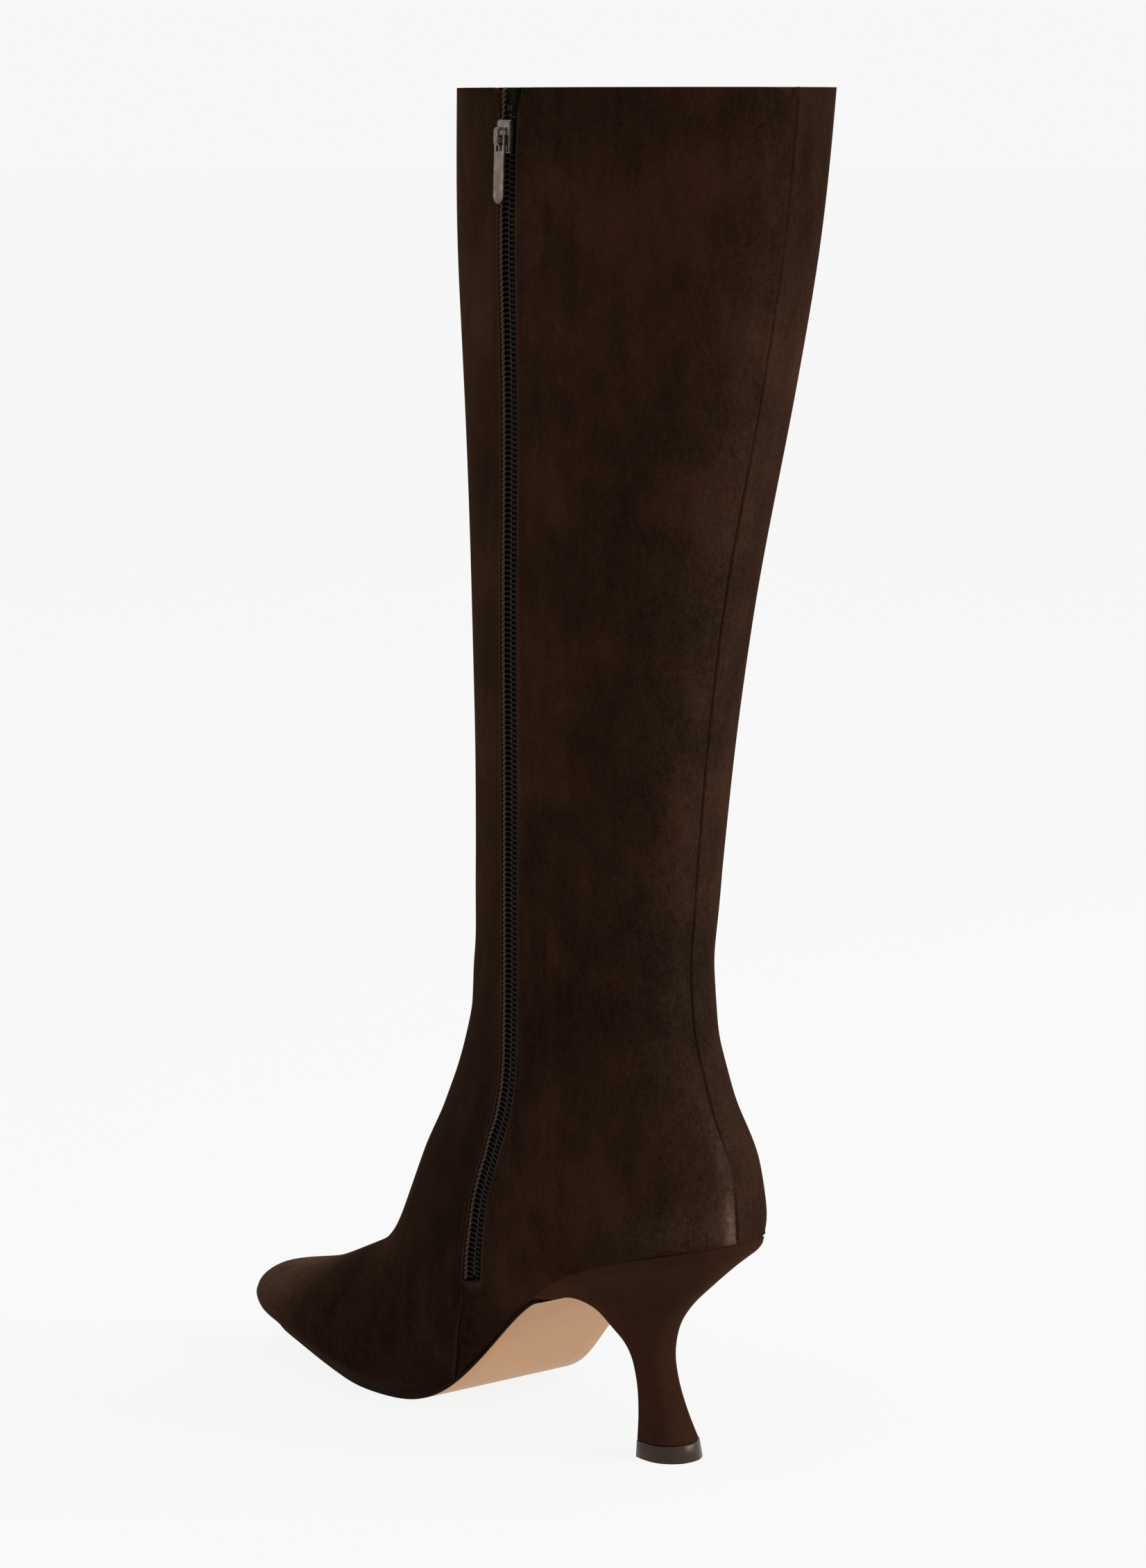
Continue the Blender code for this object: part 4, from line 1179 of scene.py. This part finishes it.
class BOOT_OT_lay_zip(bpy.types.Operator):
    """Lay the zip's woven tape behind the slot, with its coil, stitches, edge cord and top stops"""

    bl_idname = "boot.lay_zip"
    bl_label = "Lay zip"

    def execute(self, context):
        route = zip_route()
        self.lay_tape(route)
        self.lay_coil(route)
        self.lay_thread(route)
        self.lay_edge_cord(route)
        self.set_stops(route)
        return {"FINISHED"}

    def lay_tape(self, route):
        """The tape, with the flat top of its coil made wider, shifted back and sunk under the loops."""
        tape = merged_copy("zip_tape", "zip_woven_tape")
        crease_sharp_edges(tape)
        points = points_of(tape)
        run, across, away = route.measure(points)
        tops = away < 1.8 * MM
        sunk = 0.95 * MM
        widening = 0.6 * MM
        points[tops] -= normals_of(tape)[tops] * sunk
        for row in np.flatnonzero(tops):
            side = route.place(run[row]).col[0].to_3d()
            points[row] += np.array(side) * (np.sign(across[row]) * widening + COIL_SHIFT)
        move_points(tape, points)
        smooth_form(tape, levels=1, rounding=0)
        give_material(tape, [finish_named("zip_weave", make_weave, colours().coil)])
        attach(tape, BOOT)
        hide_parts("zip_tape")

    def lay_coil(self, route):
        """Loops of the coil, one pair at each pitch, from just above the slider to the slot's foot."""
        loop = self.coil_loop()
        pitch = sizes().coil_pitch
        start = SLIDER_TOP - 1.2 * MM
        past_foot = 2.8 * MM
        sunk = -0.72 * MM
        lag = 0.3 * pitch     # from a loop on one side to its fellow on the other
        half_turn = Matrix.Rotation(math.pi, 4, "Z")
        places = []
        for step in range(int((route.length - start + past_foot) / pitch)):
            spot = start + step * pitch
            places.append(route.place(spot, COIL_SHIFT, out=sunk))
            places.append(route.place(spot + lag, COIL_SHIFT, out=sunk) @ half_turn)
        coil = lay_copies(loop, places, "zip_coil_loops")
        nylon = finish_named("coil_nylon", make_nylon, colours().coil)
        # The second finish is a painted glint on top of each loop's bend.
        shine = finish_named("coil_shine", make_nylon, colours().shine)
        slots = np.empty(len(coil.data.polygons), np.int32)
        coil.data.polygons.foreach_get("material_index", slots)
        give_material(coil, [nylon, shine], slots)
        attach(coil, BOOT)

    def coil_loop(self):
        """Half a turn of the coil: a rod from the middle outwards that bends down at its end."""
        rod_middle = 1.45 * MM
        glint_end = 1.95 * MM     # a painted glint, a lighter finish on top of the bend, runs from the middle to here
        loop = new_primitive(
            bpy.ops.mesh.primitive_cylinder_add, vertices=8, radius=0.36 * MM, depth=2.0 * MM,
            end_fill_type="NGON", location=(rod_middle, 0, 0.34 * MM), rotation=(0, math.pi / 2, 0))
        for place in (rod_middle, glint_end):
            cut_across(loop, (place, 0, 0), (1, 0, 0))
        # Faces on top of the loop's bend, out from its middle, get the lighter finish: a painted glint.
        centres, normals = face_table(loop)
        glint_faces = (normals[:, 2] > 0.6) & (centres[:, 0] > rod_middle) & (centres[:, 0] < glint_end)
        give_material(loop, [None, None], glint_faces)
        for outwards, down in ((0.36, -0.10), (0.24, -0.34)):
            centres = face_table(loop)[0]
            end = int(np.argmax(centres[:, 0]))
            edit_chosen(loop, "polygons", np.arange(len(centres)) == end)
            step = Vector((outwards, 0, down)) * MM
            bpy.ops.mesh.extrude_region_move(TRANSFORM_OT_translate={"value": step})
            bpy.ops.transform.rotate(
                value=math.radians(-38), orient_axis="Y", center_override=Vector(centres[end]) + step)
            close_edit()
        return loop

    def lay_thread(self, route):
        """Chain of stitches, two side by side at each pitch, down the coil's middle."""
        stitch = make_stitch(length=1.5 * MM, thick=0.5 * MM)
        pitch = sizes().coil_pitch
        start = SLIDER_TOP - 1.2 * MM
        past_foot = 2.6 * MM
        half_apart = 0.22 * MM
        slant = Matrix.Rotation(math.radians(12), 4, "Z")
        places = []
        for step in range(int((route.length - start + past_foot) / pitch)):
            for side in (half_apart, -half_apart):
                place = route.place(start + step * pitch, COIL_SHIFT + side, out=-0.28 * MM)
                places.append(place @ slant)
        thread = lay_copies(stitch, places, "zip_thread")
        give_material(thread, [finish_named("zip_thread", make_thread, colours().thread)])
        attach(thread, BOOT)

    def lay_edge_cord(self, route):
        """A cord of slanted wraps of thread that stands on the tape along the slot's front edge."""
        wrap = make_stitch(length=2.15 * MM, thick=1.05 * MM)
        pitch = sizes().coil_pitch
        start = 1.2 * MM
        past_foot = 2.4 * MM
        beside_slot = 3.8 * MM
        slant = Matrix.Rotation(math.radians(-28), 4, "Z")
        places = []
        for step in range(int((route.length + past_foot) / pitch)):
            places.append(route.place(start + step * pitch, beside_slot, out=0.1 * MM) @ slant)
        cord = lay_copies(wrap, places, "zip_edge_cord")
        give_material(cord, [finish_named("edging_thread", make_thread, colours().edging)])
        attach(cord, BOOT)

    def set_stops(self, route):
        """Two stops moulded on the top of the coil, above the slider."""
        size = Vector((1.2, 2.2, 1.1)) * MM
        stop = new_primitive(bpy.ops.mesh.primitive_cube_add, size=1.0, scale=size)
        add_modifier(stop, "BEVEL", width=0.35 * MM, segments=3, limit_method="ANGLE")
        spot = SLIDER_TOP - 3.6 * MM
        places = [route.place(spot, side * 0.9 * MM, out=-0.3 * MM) for side in (-1, 1)]
        stops = lay_copies(stop, places, "zip_top_stops")
        bpy.ops.object.shade_smooth_by_angle(angle=math.radians(40))
        give_material(stops, [finish_named("coil_nylon", make_nylon, colours().coil)])
        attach(stops, BOOT)


class BOOT_OT_sew_facing(bpy.types.Operator):
    """Sew the suede down along both sides of the zip, with a bar of stitches under its foot"""

    bl_idname = "boot.sew_facing"
    bl_label = "Sew facing"

    def execute(self, context):
        upper = bpy.data.objects["boot_upper"]
        route = zip_route()
        stitch = make_stitch(length=1.9 * MM, thick=0.36 * MM)
        from_line = sizes().slot_half_width + sizes().slot_widening + sizes().stitch_inset
        bar_pitch = 0.62 * MM
        bar_drop = 4.6 * MM
        places = []
        for side in (-1, 1):
            for spot in np.arange(2 * MM, route.length + 0.5 * MM, sizes().stitch_pitch):
                places.append(self.on_upper(upper, route.place(spot, side * from_line)))
        for step in range(-5, 6):   # the bar of stitches, each turned the other way from the last
            start = route.place(route.length, step * bar_pitch)
            below = Matrix.Translation(start.col[1].to_3d() * bar_drop)
            slant = Matrix.Rotation(math.radians(8 * (-1) ** step), 4, "Z")
            places.append(self.on_upper(upper, below @ start) @ slant)
        thread = lay_copies(stitch, places, "facing_stitches")
        give_material(thread, [finish_named("sewing_thread", make_thread, colours().sewing)])
        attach(thread, BOOT)
        return {"FINISHED"}

    def on_upper(self, upper, start):
        """The same axes, moved to the nearest place of the upper's face and laid flat on it."""
        place, normal = nearest_place(upper, start.translation)
        along = start.col[1].to_3d()
        along = (along - normal * along.dot(normal)).normalized()
        axes = Matrix((along.cross(normal), along, normal)).transposed().to_4x4()
        return Matrix.Translation(place + normal * 0.06 * MM) @ axes


class BOOT_OT_fit_slider(bpy.types.Operator):
    """Round the slider and its pull tab and give them dark metal"""

    bl_idname = "boot.fit_slider"
    bl_label = "Fit slider and pull tab"

    def execute(self, context):
        metal = finish_named("dark_metal", make_metal, colours().metal)
        parts = (("zip_slider", "slider_body", BOOT), ("zip_pull", "pull_tab_plate", PULL_TAB))
        for node, name, body in parts:
            piece = merged_copy(node, name)
            smooth_form(piece, levels=0, rounding=0.22 * MM, angle=math.radians(30))
            give_material(piece, [metal])
            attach(piece, body)
            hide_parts(node)
        return {"FINISHED"}


class BOOT_OT_set_stage(bpy.types.Operator):
    """Set a plain pale floor, soft lights and the camera"""

    bl_idname = "boot.set_stage"
    bl_label = "Set stage"

    def execute(self, context):
        scene = context.scene
        scene.view_settings.view_transform = "Standard"
        self.lay_floor()
        middle = (0, -0.05, 0.22)
        self.hang_light("left_softbox", (1.15, -1.05, 0.85), aim=middle, size=1.1, power=3)
        self.hang_light("right_softbox", (-1.15, 1.1, 0.85), aim=middle, size=1.1, power=32)
        self.hang_light("top_softbox", (0.2, 0.1, 2.0), aim=(0, -0.05, 0.1), size=1.6, power=5)
        world = bpy.data.worlds.new("pale_room")
        world.use_nodes = True
        background = world.node_tree.nodes["Background"]
        background.inputs["Color"].default_value = (0.93, 0.93, 0.93, 1)
        background.inputs["Strength"].default_value = 1.0
        scene.world = world
        self.place_camera(scene)
        return {"FINISHED"}

    def lay_floor(self):
        """A wide round floor whose own faint glow keeps it even out to its edge."""
        floor = new_primitive(
            bpy.ops.mesh.primitive_circle_add, vertices=96, radius=30.0, fill_type="NGON")
        floor.name = "pale_floor"
        edit_chosen(floor, "polygons", True)
        bpy.ops.mesh.inset(thickness=26.0)
        close_edit()
        finish = Finish("pale_floor", Roughness=0.9, Specular_IOR_Level=0.0,
                        Emission_Color=(0.93, 0.93, 0.93), Emission_Strength=0.94)
        speck = finish.noise(3, 2)
        finish.wear(Base_Color=finish.mix(speck, (0.054, 0.054, 0.054), (0.057, 0.057, 0.057)))
        give_material(floor, [finish.material])

    def hang_light(self, name, place, aim, size, power):
        """A square soft light at a place, turned to shine at another."""
        light = bpy.data.lights.new(name, "AREA")
        light.shape = "SQUARE"
        light.size = size
        light.energy = power
        lamp = bpy.data.objects.new(name, light)
        bpy.context.scene.collection.objects.link(lamp)
        lamp.location = place
        lamp.rotation_euler = (Vector(aim) - Vector(place)).to_track_quat("-Z", "Y").to_euler()

    def place_camera(self, scene):
        """Low behind the inside of the leg, with the whole boot in view."""
        camera = bpy.data.cameras.new("studio_camera")
        camera.sensor_fit = "VERTICAL"
        camera.angle_y = math.radians(19.6)
        eye = bpy.data.objects.new("studio_camera", camera)
        scene.collection.objects.link(eye)
        eye.location = (0.975, 1.133, 0.454)
        aim = Vector((0.005, -0.045, 0.226))
        eye.rotation_euler = (aim - eye.location).to_track_quat("-Z", "Y").to_euler()
        scene.camera = eye


class BOOT_PT_boot(bpy.types.Panel):
    """Buttons that make the boot, with its colours and sizes"""

    bl_idname = "BOOT_PT_boot"
    bl_label = "Tall heeled boot"
    bl_space_type = "VIEW_3D"
    bl_region_type = "UI"
    bl_category = "Boot"

    def draw(self, context):
        layout = self.layout
        for operator in OPERATORS:
            layout.operator(operator.bl_idname)
        for group in (context.scene.boot_colours, context.scene.boot_sizes):
            column = layout.column()
            for name in group.__annotations__:
                column.prop(group, name)


OPERATORS = (
    BOOT_OT_dress_upper,
    BOOT_OT_cover_heel,
    BOOT_OT_make_tip,
    BOOT_OT_make_sole,
    BOOT_OT_lay_insole,
    BOOT_OT_lay_zip,
    BOOT_OT_sew_facing,
    BOOT_OT_fit_slider,
    BOOT_OT_set_stage,
)


def register():
    """Makes the buttons, colours and sizes known to Blender."""
    for each in (BootColours, BootSizes, *OPERATORS, BOOT_PT_boot):
        bpy.utils.register_class(each)
    bpy.types.Scene.boot_colours = bpy.props.PointerProperty(type=BootColours)
    bpy.types.Scene.boot_sizes = bpy.props.PointerProperty(type=BootSizes)


def unregister():
    """Takes the buttons, colours and sizes away again."""
    del bpy.types.Scene.boot_sizes
    del bpy.types.Scene.boot_colours
    for each in (BOOT_PT_boot, *reversed(OPERATORS), BootSizes, BootColours):
        bpy.utils.unregister_class(each)


def main():
    """Makes every piece and the stage."""
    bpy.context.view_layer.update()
    register()
    bpy.ops.boot.dress_upper()
    bpy.ops.boot.cover_heel()
    bpy.ops.boot.make_tip()
    bpy.ops.boot.make_sole()
    bpy.ops.boot.lay_insole()
    bpy.ops.boot.lay_zip()
    bpy.ops.boot.sew_facing()
    bpy.ops.boot.fit_slider()
    bpy.ops.boot.set_stage()


if __name__ == "__main__":
    main()
